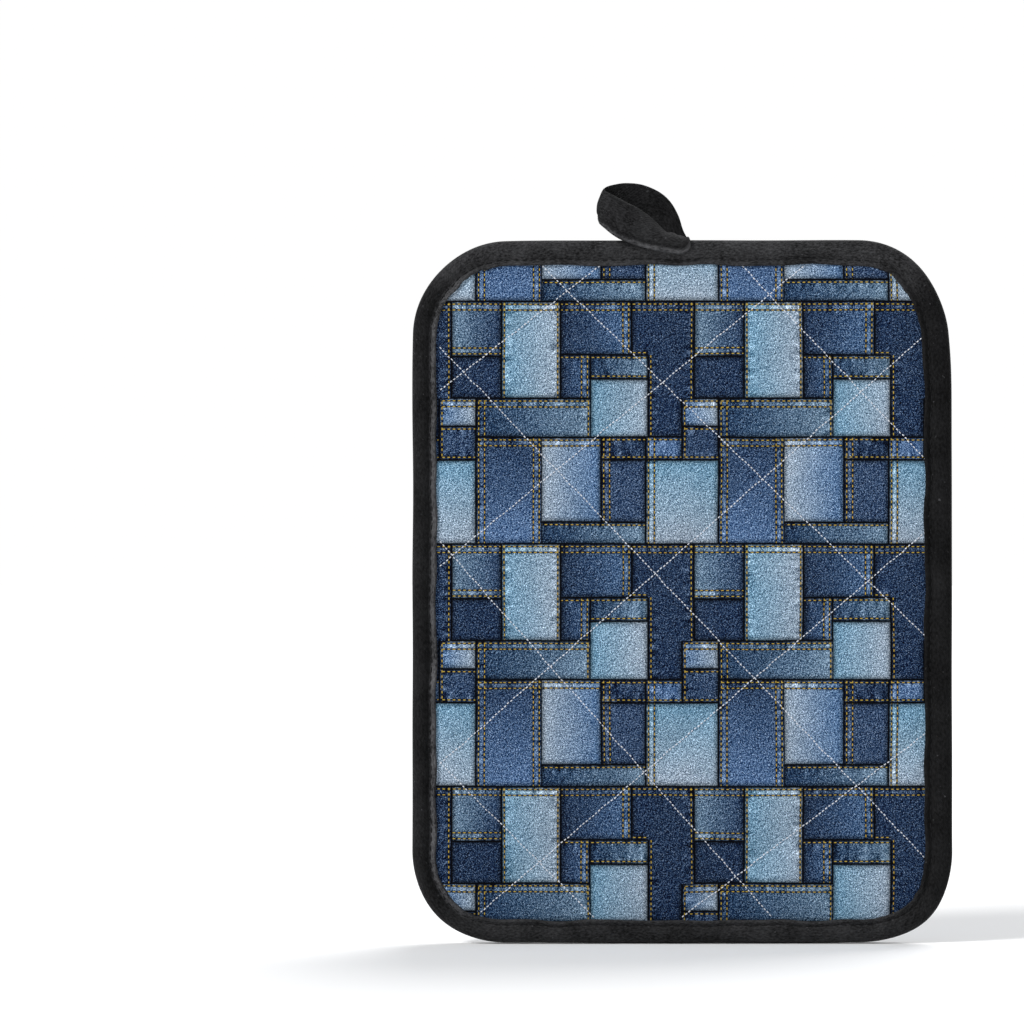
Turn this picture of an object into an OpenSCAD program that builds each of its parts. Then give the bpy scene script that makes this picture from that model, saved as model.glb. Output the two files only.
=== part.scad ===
// Pocket oven mitt: a quilted rectangular pad with a hand pocket sewn across its back, bound
// all round with tape, and a tape hanging loop at the top edge.
// Frame: +Z runs up the mitt, the printed face looks towards -Y and the pocket is on the +Y side.
// The origin is the middle of the open pocket mouth. Lengths are millimetres.

/* [Pad] */
// Width of the mitt over its binding
pad_w = 180; // [170:1:190]
// Height of the mitt over its binding
pad_h = 235; // [225:1:245]
// Radius of the outer corners
corner_r = 31; // [27:1:34]
// Distance from the top edge down to the pocket's mouth
mouth_drop = 53; // [50:1:56]

/* [Layers of the pad] */
// Printed cotton cover
cover_t = 0.6; // [0.5:0.1:0.7]
// Cotton batting behind the cover
front_batting_t = 3.0; // [2.8:0.1:3.4]
// Needled heat barrier in the middle
liner_t = 0.6; // [0.4:0.1:0.8]
// Cotton batting behind the heat barrier
back_batting_t = 2.0; // [1.8:0.1:2.2]
// Plain black lining on the hand side
lining_t = 0.6; // [0.5:0.1:0.7]
// Front batting where the binding squeezes it
squeezed_front_t = 1.4; // [1.2:0.1:1.6]
// Back batting where the binding squeezes it
squeezed_back_t = 1.0; // [0.8:0.1:1.2]

/* [Binding] */
// Width of each leg of the folded edge tape
binding_leg = 9; // [8:0.5:10]
// Thickness of the folded tape
binding_t = 1.2; // [1:0.1:1.4]
// Distance of the seam from the tape's inner edge
binding_seam_in = 1.5; // [1.2:0.1:2]

/* [Pocket] */
// How far the pocket's mouth bows out at its middle
pocket_bow = 12.5; // [10:0.5:16]
// Lining of the pocket panel
pocket_lining_t = 0.5; // [0.4:0.1:0.6]
// Batting of the pocket panel
pocket_batting_t = 1.5; // [1.2:0.1:1.8]
// Printed face of the pocket panel
pocket_face_t = 0.6; // [0.5:0.1:0.7]
// Height of the tape that binds the mouth
mouth_band_h = 10; // [9:0.5:11]
// Thickness of the tape that binds the mouth
mouth_band_t = 0.8; // [0.7:0.1:1]

/* [Quilting] */
// Thickness of the quilting thread
thread_t = 0.5; // [0.4:0.1:0.6]
// How far every quilting seam is moved up the mitt from its usual place
quilting_shift = 0; // [-3:0.5:3]

/* [Hanging loop] */
// Width of the loop's tape
loop_tape_w = 12.6; // [12:0.2:13]
// Thickness of the loop's tape
loop_tape_t = 0.8; // [0.7:0.1:0.8]
// Sideways place of the loop's sewn ends
loop_x = -3.8; // [-6:0.2:-2]

/* [Hidden] */
$fn = 64;

tape_black = [0.15, 0.15, 0.16];
denim_blue = [0.36, 0.47, 0.64];
batting_white = [0.93, 0.92, 0.88];
thread_white = [0.90, 0.91, 0.94];

seam_gap = 0.4;       // space between the pocket panel's edge and the binding beside it
hairline = 0.05;      // space between curved layers that are sewn together
thread_depth = 0.4;   // how deep a flat seam's thread sinks into the cloth
thread_proud = 0.3;   // how far a seam on tape stands out of it
far = 400;            // longer than any seam

// Height of the pad's edges and middle.
top_z = mouth_drop;
bottom_z = top_z - pad_h;
middle_z = (top_z + bottom_z) / 2;

// Depths of the layers, from the pocket side to the printed side.
mouth_clear = 1.5;    // space behind the pocket's mouth at the side seams
mouth_depth = pocket_bow + mouth_clear;
lining_y = -mouth_depth / 2;
liner_back_y = lining_y - lining_t - back_batting_t;
liner_front_y = liner_back_y - liner_t;
cover_y = liner_front_y - front_batting_t - cover_t;
squeezed_cover_y = liner_front_y - squeezed_front_t - cover_t;
squeezed_lining_y = liner_back_y + squeezed_back_t + lining_t;
binding_front_y = squeezed_cover_y - binding_t;
binding_back_y = squeezed_lining_y + binding_t;
binding_middle_y = (binding_front_y + binding_back_y) / 2;

// Insets from the mitt's outline.
puff_in = binding_leg + 0.3;           // where the quilted middle rises out of the binding
batting_puff_in = puff_in + cover_t;

// ---------- flat layers ----------

module rounded_rect(w, h, r) {
    square([w - 2 * r, h], center = true);
    square([w, h - 2 * r], center = true);
    for (sx = [-1, 1], sz = [-1, 1])
        translate([sx * (w / 2 - r), sz * (h / 2 - r)])
            circle(r);
}

module pad_outline(inset) {
    rounded_rect(pad_w - 2 * inset, pad_h - 2 * inset, corner_r - inset);
}

// A flat shape drawn about the middle of the pad, made solid from depth y0 to depth y1.
module slab(y0, y1) {
    translate([0, y1, middle_z])
        rotate([90, 0, 0])
            linear_extrude(y1 - y0)
                children();
}

module front_batting_shape() {
    slab(squeezed_cover_y + cover_t, liner_front_y)
        pad_outline(binding_t);
    slab(cover_y + cover_t, squeezed_cover_y + cover_t)
        pad_outline(batting_puff_in);
}

module back_batting_shape() {
    slab(liner_back_y, liner_back_y + squeezed_back_t)
        pad_outline(binding_t);
    slab(liner_back_y + squeezed_back_t, lining_y - lining_t)
        pad_outline(batting_puff_in);
}

module front_cover() {
    color(denim_blue)
        difference() {
            union() {
                slab(squeezed_cover_y, liner_front_y)
                    pad_outline(binding_t);
                slab(cover_y, squeezed_cover_y)
                    pad_outline(puff_in);
            }
            front_batting_shape();
        }
}

module front_batting() {
    color(batting_white)
        front_batting_shape();
}

module heat_liner() {
    color("silver")
        slab(liner_front_y, liner_back_y)
            pad_outline(binding_t);
}

module back_batting() {
    color(batting_white)
        back_batting_shape();
}

module back_lining() {
    color(tape_black)
        difference() {
            union() {
                slab(liner_back_y, squeezed_lining_y)
                    pad_outline(binding_t);
                slab(squeezed_lining_y, lining_y)
                    pad_outline(puff_in);
            }
            back_batting_shape();
        }
}

// ---------- edge binding ----------

module edge_binding() {
    color(tape_black)
        difference() {
            slab(binding_front_y, binding_back_y)
                pad_outline(0);
            slab(squeezed_cover_y, squeezed_lining_y)
                pad_outline(binding_t);
            slab(binding_front_y - 1, binding_back_y + 1)
                pad_outline(binding_leg);
        }
}

// The seam that runs round the binding, as a closed band of thread.
module binding_seam(y0, y1) {
    seam_in = binding_leg - binding_seam_in;
    color(tape_black)
        slab(y0, y1)
            difference() {
                pad_outline(seam_in - thread_t / 2);
                pad_outline(seam_in + thread_t / 2);
            }
}

module binding_stitches_front() {
    binding_seam(binding_front_y - thread_proud, binding_front_y);
}

module binding_stitches_back() {
    binding_seam(binding_back_y, binding_back_y + thread_proud);
}

// ---------- quilting of the pad ----------

// The seams are guided by hand, so each has its own slope, rising to the right as the printed face
// is seen, and its own distance from the middle of the pad: [slope, distance]. The two sides are
// quilted separately, each on its own batting.
front_seams = [
    [-46.5, 89], [-44, 45.5], [-46.5, -2.5], [-48.5, -49.5], [-45, -97.5],
    [38, 102.5], [39.5, 58], [41.5, 10.5], [40.5, -37.5], [37, -86.5]
];
back_seams = [
    [-47, 84.5], [-45, 41], [-45.5, -5], [-45.5, -51], [-45.5, -97],
    [41, 97], [41.5, 51], [41.5, 5], [41.5, -41], [41.5, -87]
];

module quilting_lines(seams) {
    intersection() {
        pad_outline(puff_in + thread_t);
        for (seam = seams)
            translate([0, quilting_shift])
                rotate(seam[0])
                    translate([0, seam[1]])
                        square([far, thread_t], center = true);
    }
}

module front_quilting_thread() {
    color(thread_white)
        slab(cover_y, cover_y + thread_depth)
            quilting_lines(front_seams);
}

module back_quilting_thread() {
    color("gray")
        slab(lining_y - thread_depth, lining_y)
            quilting_lines(back_seams);
}

// ---------- pocket panel ----------

pocket_t = pocket_lining_t + pocket_batting_t + pocket_face_t;
pocket_floor_gap = 1;              // the panel's lower edge tips into this when the pocket opens
pocket_bottom_z = bottom_z + binding_leg + pocket_floor_gap;
pocket_top_z = -mouth_band_t;
pocket_half_w = pad_w / 2 - binding_leg - seam_gap;
pocket_corner_r = corner_r - binding_leg - pocket_floor_gap;
pocket_columns = 32;
pocket_rows = 10;

// How far up the pocket a height is: 0 at the lower edge, 1 at the mouth.
function pocket_rise(z) = (z - pocket_bottom_z) / -pocket_bottom_z;

// Depth of the pocket's inner surface. It lies on the pad at the side and lower seams.
function pocket_y(x, z) =
    lining_y + seam_gap
    + pocket_rise(z) * (mouth_clear - seam_gap + pocket_bow * pow(1 - pow(x / pocket_half_w, 2), 2));

function pocket_point(x, z, d) = [x, pocket_y(x, z) + d, z];

// Rows of the panel as [height, half width]: up the round corner, then up the straight sides.
pocket_levels = concat(
    [for (a = [0:15:90])
        [pocket_bottom_z + pocket_corner_r * (1 - cos(a)),
         pocket_half_w - pocket_corner_r * (1 - sin(a))]],
    [for (i = [1:pocket_rows])
        let (z0 = pocket_bottom_z + pocket_corner_r)
        [z0 + (pocket_top_z - z0) * i / pocket_rows, pocket_half_w]]
);

// Triangles of a grid of points, n points to a row; flip turns them inside out.
function grid_faces(rows, n, first, flip) = [
    for (i = [0:rows - 2], j = [0:n - 2], k = [0, 1])
        let (p = first + i * n + j,
             t = k == 0 ? [p, p + 1, p + n + 1] : [p, p + n + 1, p + n])
        flip ? [t[2], t[1], t[0]] : t
];

// Triangles that join two loops of points, each n long.
function wall_faces(a, b) = [
    for (i = [0:len(a) - 1], k = [0, 1])
        let (j = (i + 1) % len(a))
        k == 0 ? [a[i], b[i], b[j]] : [a[i], b[j], a[j]]
];

// The border of a grid of points, once round.
function grid_border(rows, n, first) = concat(
    [for (j = [0:n - 1]) first + j],
    [for (i = [1:rows - 1]) first + i * n + n - 1],
    [for (j = [1:n - 1]) first + rows * n - 1 - j],
    [for (i = [1:rows - 2]) first + (rows - 1 - i) * n]
);

// One layer of the pocket panel, from distance d0 to distance d1 out of its inner surface.
module pocket_layer(d0, d1) {
    rows = len(pocket_levels);
    n = pocket_columns + 1;
    points = [
        for (d = [d0, d1], level = pocket_levels, j = [0:pocket_columns])
            pocket_point(level[1] * (2 * j / pocket_columns - 1), level[0], d)
    ];
    polyhedron(points, concat(
        grid_faces(rows, n, 0, true),
        grid_faces(rows, n, rows * n, false),
        wall_faces(grid_border(rows, n, rows * n), grid_border(rows, n, 0))
    ));
}

module pocket_lining() {
    color(tape_black)
        pocket_layer(0, pocket_lining_t);
}

module pocket_batting() {
    color(batting_white)
        pocket_layer(pocket_lining_t, pocket_lining_t + pocket_batting_t);
}

module pocket_face() {
    color(denim_blue)
        pocket_layer(pocket_t - pocket_face_t, pocket_t);
}

// Triangles that close a ring of n points whose first half runs out along a strip and whose
// second half runs back beside it; flip turns them inside out.
function cap_faces(n, first, flip) = [
    for (i = [0:n / 2 - 2], k = [0, 1])
        let (t = k == 0 ? [i, i + 1, n - 2 - i] : [i, n - 2 - i, n - 1 - i])
        [for (p = flip ? [t[2], t[1], t[0]] : t) first + p]
];

// A solid whose rings of points, each n long, follow one another from end to end.
module swept(rings) {
    n = len(rings[0]);
    last = len(rings) - 1;
    points = [for (ring = rings) each ring];
    polyhedron(points, concat(
        cap_faces(n, 0, false),
        [for (i = [0:last - 1], face = wall_faces([for (j = [0:n - 1]) i * n + j],
                                                  [for (j = [0:n - 1]) (i + 1) * n + j]))
            face],
        cap_faces(n, last * n, true)
    ));
}

// A ring across the pocket panel at one x, from [distance out, height] pairs.
function pocket_ring(x, section) = [for (s = section) pocket_point(x, s[1], s[0])];

module along_mouth(section) {
    swept([for (j = [0:pocket_columns])
        pocket_ring(pocket_half_w * (2 * j / pocket_columns - 1), section)]);
}

module pocket_mouth_binding() {
    inner = -hairline;
    outer = pocket_t + hairline;
    color(tape_black)
        along_mouth([
            [outer + mouth_band_t, -mouth_band_h], [outer + mouth_band_t, 0],
            [inner - mouth_band_t, 0], [inner - mouth_band_t, -mouth_band_h],
            [inner, -mouth_band_h], [inner, pocket_top_z + hairline],
            [outer, pocket_top_z + hairline], [outer, -mouth_band_h]
        ]);
}

module pocket_mouth_stitches() {
    face = pocket_t + mouth_band_t + 2 * hairline;
    seam_z = -mouth_band_h + binding_seam_in;
    color(tape_black)
        along_mouth([
            [face, seam_z - thread_t / 2], [face + thread_proud, seam_z - thread_t / 2],
            [face + thread_proud, seam_z + thread_t / 2], [face, seam_z + thread_t / 2]
        ]);
}

// ---------- quilting of the pocket ----------

// The panel's seams as [slope, distance from the middle of the pad]; the first and the last of each
// family lie just off the panel.
pocket_falling = [[-43, 104], [-43, 57], [-42.5, 9.5], [-40, -40], [-38, -88], [-38, -135]];
pocket_rising = [[44, 106], [44, 59.5], [45, 12.5], [46.5, -34], [42.5, -80], [42.5, -135]];

// Where seam m of the falling family crosses seam k of the rising family.
function pocket_crossing(m, k) =
    let (a = pocket_falling[m],
         b = pocket_rising[k],
         turn = sin(b[0] - a[0]))
    [0, middle_z + quilting_shift]
    + [(a[1] * cos(b[0]) - b[1] * cos(a[0])) / turn, (a[1] * sin(b[0]) - b[1] * sin(a[0])) / turn];

// Is a point on the panel, clear of its edges and of the tape on its mouth?
function on_pocket(p) =
    let (edge = 1.5,
         corner = [pocket_half_w - pocket_corner_r, pocket_bottom_z + pocket_corner_r],
         past = [abs(p[0]) - corner[0], corner[1] - p[1]])
    abs(p[0]) < pocket_half_w - edge && p[1] < -mouth_band_h - edge && p[1] > pocket_bottom_z + edge
    && (past[0] < 0 || past[1] < 0 || norm(past) < pocket_corner_r - edge);

// A straight seam over the panel from p to q, as far as it lies on the panel.
module pocket_seam(p, q) {
    steps = ceil(norm(q - p) / 5);
    side = [p[1] - q[1], q[0] - p[0]] * thread_t / 2 / norm(q - p);
    low = pocket_t + hairline;
    places = [for (i = [0:steps]) let (c = p + (q - p) * i / steps) if (on_pocket(c)) c];
    if (len(places) > 1)
        swept([for (c = places) [
            for (s = [[-1, 0], [-1, 1], [1, 1], [1, 0]])
                let (e = c + s[0] * side)
                pocket_point(e[0], e[1], low + s[1] * thread_proud)
        ]]);
}

// Each seam is drawn from crossing to crossing and stops short of the thread that it meets.
module pocket_quilting_thread() {
    color(thread_white)
        for (m = [0:4], k = [0:4], along = [0, 1]) {
            p = pocket_crossing(m, k);
            q = along == 0 ? pocket_crossing(m, k + 1) : pocket_crossing(m + 1, k);
            ahead = (q - p) / norm(q - p) * thread_t;
            pocket_seam(p + ahead, q - ahead);
        }
}

// ---------- hanging loop ----------

// The loop's ends lie one on the other on the back of the binding and are sewn down together.
tail_rise = 0.6;      // how far the sewn ends stand above the top edge
tape_play = 0.1;      // space between the tape's layers where they are sewn
tail_t = 2 * (loop_tape_t + tape_play);

module loop_tail() {
    color(tape_black)
        translate([loop_x - loop_tape_w / 2, binding_back_y, top_z - binding_leg - 0.5])
            cube([loop_tape_w, tail_t, binding_leg + 0.5 + tail_rise]);
}

module loop_bar_tack() {
    tack = [10, 2];
    color(tape_black)
        translate([loop_x - tack[0] / 2, binding_back_y + tail_t, top_z - 5])
            cube([tack[0], thread_proud, tack[1]]);
}

// The free tape, station by station: one edge, the crease along its middle, the other edge.
// Points are [x, y, z] from loop_x, from the middle of the binding's thickness and from the top
// edge. The near leg folds forward over the edge, runs left, turns and comes back behind.
near_y = binding_back_y - binding_middle_y + tape_play + loop_tape_t / 2;
far_y = near_y + loop_tape_t + tape_play;
half_w = loop_tape_w / 2;
loop_path = [
    [[half_w, near_y, 1.2], [0, near_y, 1.2], [-half_w, near_y, 1.2]],
    [[7.4, 1.2, 1.8], [2, 2.6, 2.4], [-3.6, 4.2, 3.2]],
    [[8.2, -2.2, 1.9], [3.6, -0.2, 2.5], [-1.8, 4.2, 3.4]],
    [[8, -4.9, 0.4], [4, -2.8, 2.4], [-1, 3.6, 3.2]],
    [[7, -5.2, -2.4], [3, -4.2, 1.6], [-0.8, 3, 3]],
    [[3.8, -5.2, -4.7], [1.4, -4.6, 1.2], [-1.4, 2.2, 2.8]],
    [[-2.7, -5.2, -4.2], [-2.4, -4.8, 1.6], [-3.6, 1, 4.4]],
    [[-7.9, -5.4, -3.4], [-6.6, -4.9, 2.4], [-6.2, 0, 7]],
    [[-12.9, -6, -1.6], [-11.4, -5.2, 4.4], [-9.8, -1.2, 9.6]],
    [[-17.7, -6.2, 1.4], [-16.2, -5.2, 7.4], [-14.6, -2, 12.8]],
    [[-21.4, -5.6, 4.2], [-20.4, -4.8, 10.2], [-18.8, -2.4, 15.2]],
    [[-23.2, -3.4, 6.2], [-22.8, -2.8, 12], [-21.8, -1.2, 17]],
    [[-23.9, 0, 7.4], [-24, 0.2, 13], [-23, 0.8, 17.8]],
    [[-22.6, 3, 8], [-22.6, 3, 13.6], [-21.6, 2.9, 18.4]],
    [[-18.2, 4.8, 6.8], [-17.8, 4.8, 12.8], [-17, 4.6, 18.8]],
    [[-12.4, 5.6, 5.6], [-11.6, 5.8, 12], [-10.2, 5.2, 18.2]],
    [[-8.2, 5.8, 3.8], [-5.8, 6.2, 9.8], [-4.2, 5.4, 16]],
    [[-6.8, 5.4, 2.2], [-2, 6, 6.6], [1, 5.4, 12]],
    [[-6.4, 5.1, 1.6], [-0.5, 5.5, 3.6], [4, 5.2, 5.8]],
    [[-half_w, far_y, 1.2], [0, far_y, 1.2], [half_w, far_y, 1.2]]
];

function unit(v) = v / norm(v);

// Outward direction of the tape at station i, from its heading and its width.
function loop_normal(i) =
    let (last = len(loop_path) - 1,
         heading = loop_path[min(i + 1, last)][1] - loop_path[max(i - 1, 0)][1],
         width = loop_path[i][2] - loop_path[i][0])
    unit(cross(heading, width));

function loop_place(p) = p + [loop_x, binding_middle_y, top_z];

// The ring round the tape at station i: up one face of it and back down the other.
function loop_ring(i) =
    let (half = loop_normal(i) * loop_tape_t / 2, s = loop_path[i])
    [for (p = s) loop_place(p - half), for (j = [2:-1:0]) loop_place(s[j] + half)];

module hanging_loop() {
    color(tape_black)
        swept([for (i = [0:len(loop_path) - 1]) loop_ring(i)]);
}

// The seam that closes the folded tape runs on its outer face, close to the first edge.
function loop_seam_ring(i) =
    let (n = -loop_normal(i),
         edge = loop_path[i][0],
         inward = unit(loop_path[i][1] - edge),
         low = loop_tape_t / 2 - hairline)
    [for (s = [[1, 0], [1, thread_proud], [1 + thread_t, thread_proud], [1 + thread_t, 0]])
        loop_place(edge + inward * s[0] + n * (low + s[1]))];

module loop_edge_stitches() {
    color(tape_black)
        swept([for (i = [1:len(loop_path) - 2]) loop_seam_ring(i)]);
}

front_cover();
front_batting();
heat_liner();
back_batting();
back_lining();
edge_binding();
binding_stitches_front();
binding_stitches_back();
front_quilting_thread();
back_quilting_thread();
loop_tail();
loop_bar_tack();
pocket_lining();
pocket_batting();
pocket_face();
pocket_mouth_binding();
pocket_mouth_stitches();
pocket_quilting_thread();
hanging_loop();
loop_edge_stitches();
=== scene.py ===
"""The looks of a quilted pocket oven mitt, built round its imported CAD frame.

Lengths are millimetres up to the point where a mesh is made, and metres from there on. X runs to
the right of the printed face, Y from the printed face to the pocket, Z up the mitt.
"""

import math

import bpy
import numpy as np
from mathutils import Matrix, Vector
from mathutils.bvhtree import BVHTree


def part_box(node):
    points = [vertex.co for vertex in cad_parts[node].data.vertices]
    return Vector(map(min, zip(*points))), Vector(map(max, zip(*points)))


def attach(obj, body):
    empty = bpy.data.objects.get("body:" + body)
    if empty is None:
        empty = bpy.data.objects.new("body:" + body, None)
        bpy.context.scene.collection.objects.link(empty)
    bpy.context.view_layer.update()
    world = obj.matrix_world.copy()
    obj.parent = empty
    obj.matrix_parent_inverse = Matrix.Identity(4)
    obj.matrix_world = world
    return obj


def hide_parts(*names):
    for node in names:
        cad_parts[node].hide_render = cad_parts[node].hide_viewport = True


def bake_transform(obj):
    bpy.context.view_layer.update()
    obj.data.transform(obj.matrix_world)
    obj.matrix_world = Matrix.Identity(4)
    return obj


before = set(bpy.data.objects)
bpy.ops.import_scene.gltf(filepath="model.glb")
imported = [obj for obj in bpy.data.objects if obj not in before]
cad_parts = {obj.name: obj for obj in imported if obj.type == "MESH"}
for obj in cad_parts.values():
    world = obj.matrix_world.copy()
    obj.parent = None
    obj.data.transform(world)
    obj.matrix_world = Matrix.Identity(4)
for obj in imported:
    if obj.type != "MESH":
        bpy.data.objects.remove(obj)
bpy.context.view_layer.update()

MM = 1000.0               # millimetres in a metre


# ---------- measures, from the frame ----------

def box_mm(node):
    """Lowest and highest corner of a CAD node."""
    return [np.array(corner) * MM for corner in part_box(node)]


BINDING_LOW, BINDING_HIGH = box_mm("edge_binding")
HALF_W = BINDING_HIGH[0]
HALF_H = (BINDING_HIGH[2] - BINDING_LOW[2]) / 2
TOP_Z = BINDING_HIGH[2]
MIDDLE_Z = TOP_Z - HALF_H
MIDDLE_Y = (BINDING_LOW[1] + BINDING_HIGH[1]) / 2
LINER_LOW, LINER_HIGH = box_mm("heat_liner")
FRONT_SEAM_Y = box_mm("front_cover")[0][1] + 1.2      # where the quilting pulls the cover in
BACK_SEAM_Y = box_mm("back_lining")[1][1] - 1.0       # where it pulls the lining in
CORNER_R = 31.0
LEG = 9.0                                             # width of the binding's legs

POCKET_LOW, POCKET_HIGH = box_mm("pocket_face")
POCKET_HALF_W = POCKET_HIGH[0]
POCKET_BOTTOM_Z = POCKET_LOW[2]
MOUTH_LOW, MOUTH_HIGH = box_mm("pocket_mouth_binding")
POCKET_T = 2.6                                        # thickness of the pocket's panel
MOUTH_CLEAR = 1.1                                     # how far the panel stands off at its mouth
MOUTH_BOW = 12.5                                      # and how much further in its middle

TAIL_LOW, TAIL_HIGH = box_mm("loop_tail")
LOOP_X = (TAIL_LOW[0] + TAIL_HIGH[0]) / 2


# ---------- small tools ----------

def smooth(value, low, high):
    """0 below low, 1 above high, an S-curve between."""
    t = np.clip((value - low) / (high - low), 0, 1)
    return t * t * (3 - 2 * t)


def unit(vectors):
    return vectors / np.linalg.norm(vectors, axis=-1, keepdims=True)


def ripple(along, length, waves, seed):
    """A smooth random wave of height about 1 along a line, made of the given wavelengths. It
    closes on itself over length."""
    draw = np.random.default_rng(seed)
    total = np.zeros_like(along, dtype=float)
    for wave in waves:
        for spread in (0.8, 1.0, 1.3):
            turns = max(1, round(length / (wave * spread)))
            total += np.cos(2 * math.pi * (turns * along / length + draw.random()))
    return total / (1.7 * math.sqrt(len(waves) * 3))


def field_noise(x, z, wave, seed):
    """A smooth random field over the mitt, of height about 1."""
    draw = np.random.default_rng(seed)
    total = np.zeros_like(x, dtype=float)
    count = 12
    for _ in range(count):
        angle, phase = draw.random(2) * 2 * math.pi
        size = wave * (0.7 + 0.9 * draw.random())
        total += np.cos(2 * math.pi * (x * math.cos(angle) + z * math.sin(angle)) / size + phase)
    return total / math.sqrt(count / 2) / 1.6


def sway(x, z):
    """How far the soft pad leans off its flat plane in Y."""
    return 0.7 * field_noise(x, z, 150, 3)


def grid_quads(rows, columns, wrap_rows=False, wrap_columns=False):
    """Quads of a grid of points that are stored row by row."""
    i = np.arange(rows if wrap_rows else rows - 1)[:, None]
    j = np.arange(columns if wrap_columns else columns - 1)[None, :]
    below, beside = (i + 1) % rows, (j + 1) % columns
    corners = [i * columns + j, i * columns + beside, below * columns + beside, below * columns + j]
    return np.stack([c + 0 * i + 0 * j for c in corners], -1).reshape(-1, 4)


def tube_faces(rings, sides):
    """Faces of a tube that is stored ring by ring, with both its ends closed."""
    last = (rings - 1) * sides
    ends = [list(range(sides))[::-1], list(range(last, last + sides))]
    return grid_quads(rings, sides, False, True).tolist() + ends


def make_piece(name, points, faces, material, uv, levels=0, painted_light=None):
    """A smooth mesh piece. uv holds each point's cloth coordinates, and the last argument a factor on its
    cloth's lightness at each point, which paints light and shade into it.
    """
    mesh = bpy.data.meshes.new(name)
    faces = [list(map(int, face)) for face in faces]
    mesh.from_pydata((np.asarray(points, float) / MM).tolist(), [], faces)
    corner_points = np.zeros(len(mesh.loops), np.int32)
    mesh.loops.foreach_get("vertex_index", corner_points)
    layer = mesh.uv_layers.new(name="cloth_mm")
    layer.data.foreach_set("uv", np.asarray(uv, np.float32)[corner_points].ravel())
    # The factor of painted light and shade is stored on the points.
    if painted_light is not None:
        values = np.broadcast_to(painted_light, len(points)).astype(np.float32)
        mesh.attributes.new("painted_light", "FLOAT", "POINT").data.foreach_set("value", values)
    mesh.materials.append(material)
    mesh.shade_smooth()
    piece = bpy.data.objects.new(name, mesh)
    bpy.context.scene.collection.objects.link(piece)
    if levels:
        subdivision = piece.modifiers.new("smooth", "SUBSURF")
        subdivision.levels = subdivision.render_levels = levels
        graph = bpy.context.evaluated_depsgraph_get()
        final = bpy.data.meshes.new_from_object(piece.evaluated_get(graph), depsgraph=graph)
        piece.modifiers.clear()
        piece.data = final
    return piece


def points_of(piece):
    co = np.zeros(len(piece.data.vertices) * 3, np.float32)
    piece.data.vertices.foreach_get("co", co)
    return co.reshape(-1, 3).astype(float) * MM


def srgb(red, green, blue):
    """A display colour, 0 to 255, as linear light."""
    def linear(c):
        c /= 255
        return c / 12.92 if c <= 0.04045 else ((c + 0.055) / 1.055) ** 2.4
    return (linear(red), linear(green), linear(blue))


# ---------- arithmetic on shader nodes ----------

class Field:
    """A number that varies over a surface: one output of a shader node."""

    def __init__(self, tree, socket):
        self.tree, self.socket = tree, socket

    def math(self, operation, *others, clamp=False):
        node = self.tree.nodes.new("ShaderNodeMath")
        node.operation, node.use_clamp = operation, clamp
        for slot, value in enumerate((self, *others)):
            feed(self.tree, value, node.inputs[slot])
        return Field(self.tree, node.outputs[0])

    def __add__(self, other):
        return self.math("ADD", other)

    def __sub__(self, other):
        return self.math("SUBTRACT", other)

    def __mul__(self, other):
        return self.math("MULTIPLY", other)

    def __rsub__(self, other):
        return (self * -1) + other

    def over(self, limit):
        return self.math("GREATER_THAN", limit)

    def under(self, limit):
        return self.math("LESS_THAN", limit)

    def clamped(self):
        return self.math("ADD", 0.0, clamp=True)

    def most(self, other):
        return self.math("MAXIMUM", other)

    def modulo(self, size):
        return self.math("FLOORED_MODULO", size)

    def near(self, centre, half_width, edge):
        """1 within half_width of centre, 0 further off, over an edge that wide."""
        off = (self - centre).math("ABSOLUTE")
        return ((half_width - off) * (1 / edge) + 0.5).clamped()


def feed(tree, value, socket):
    if isinstance(value, Field):
        tree.links.new(value.socket, socket)
    elif isinstance(value, bpy.types.NodeSocket):
        tree.links.new(value, socket)
    else:
        socket.default_value = value


def add_node(tree, kind, inputs=(), **settings):
    node = tree.nodes.new("ShaderNode" + kind)
    for key, value in settings.items():
        setattr(node, key, value)
    for key, value in dict(inputs).items():
        feed(tree, value, node.inputs[key])
    return node


def blend_color(tree, mode, share, a, b):
    """Two colours mixed; a share is a number or a Field."""
    node = add_node(tree, "Mix", data_type="RGBA", blend_type=mode)
    for key, value in ((0, share), (6, a), (7, b)):
        feed(tree, value if key == 0 or not isinstance(value, tuple) else (*value, 1), node.inputs[key])
    return node.outputs[2]


def scaled_color(tree, color, factor):
    """A colour made lighter or darker by a Field."""
    node = add_node(tree, "VectorMath", operation="SCALE")
    feed(tree, color, node.inputs[0])
    feed(tree, factor, node.inputs["Scale"])
    return node.outputs[0]


def cloth_coordinates(tree):
    """The two cloth coordinates, in millimetres."""
    uv = add_node(tree, "UVMap", uv_map="cloth_mm")
    split = add_node(tree, "SeparateXYZ", {0: uv.outputs[0]})
    return Field(tree, split.outputs[0]), Field(tree, split.outputs[1])


def noise_at(tree, u, v, scale, detail=2.0, roughness=0.5, shift=0.0):
    """Noise over two coordinates, about 0 to 1."""
    place = add_node(tree, "CombineXYZ", {0: u, 1: v, 2: shift})
    node = add_node(tree, "TexNoise",
                    {"Vector": place.outputs[0], "Scale": scale, "Detail": detail, "Roughness": roughness})
    return Field(tree, node.outputs[0])


def new_material(name, roughness, specular=0.08, sheen=0.0):
    material = bpy.data.materials.new(name)
    material.use_nodes = True
    tree = material.node_tree
    shader = tree.nodes["Principled BSDF"]
    shader.inputs["Roughness"].default_value = roughness
    shader.inputs["Specular IOR Level"].default_value = specular
    shader.inputs["Sheen Weight"].default_value = sheen
    shader.inputs["Sheen Roughness"].default_value = 0.5
    return material, tree, shader


def display(tone):
    """A tone of 0 to 255 as 0 to 1."""
    return tuple(c / 255 for c in tone)


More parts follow.
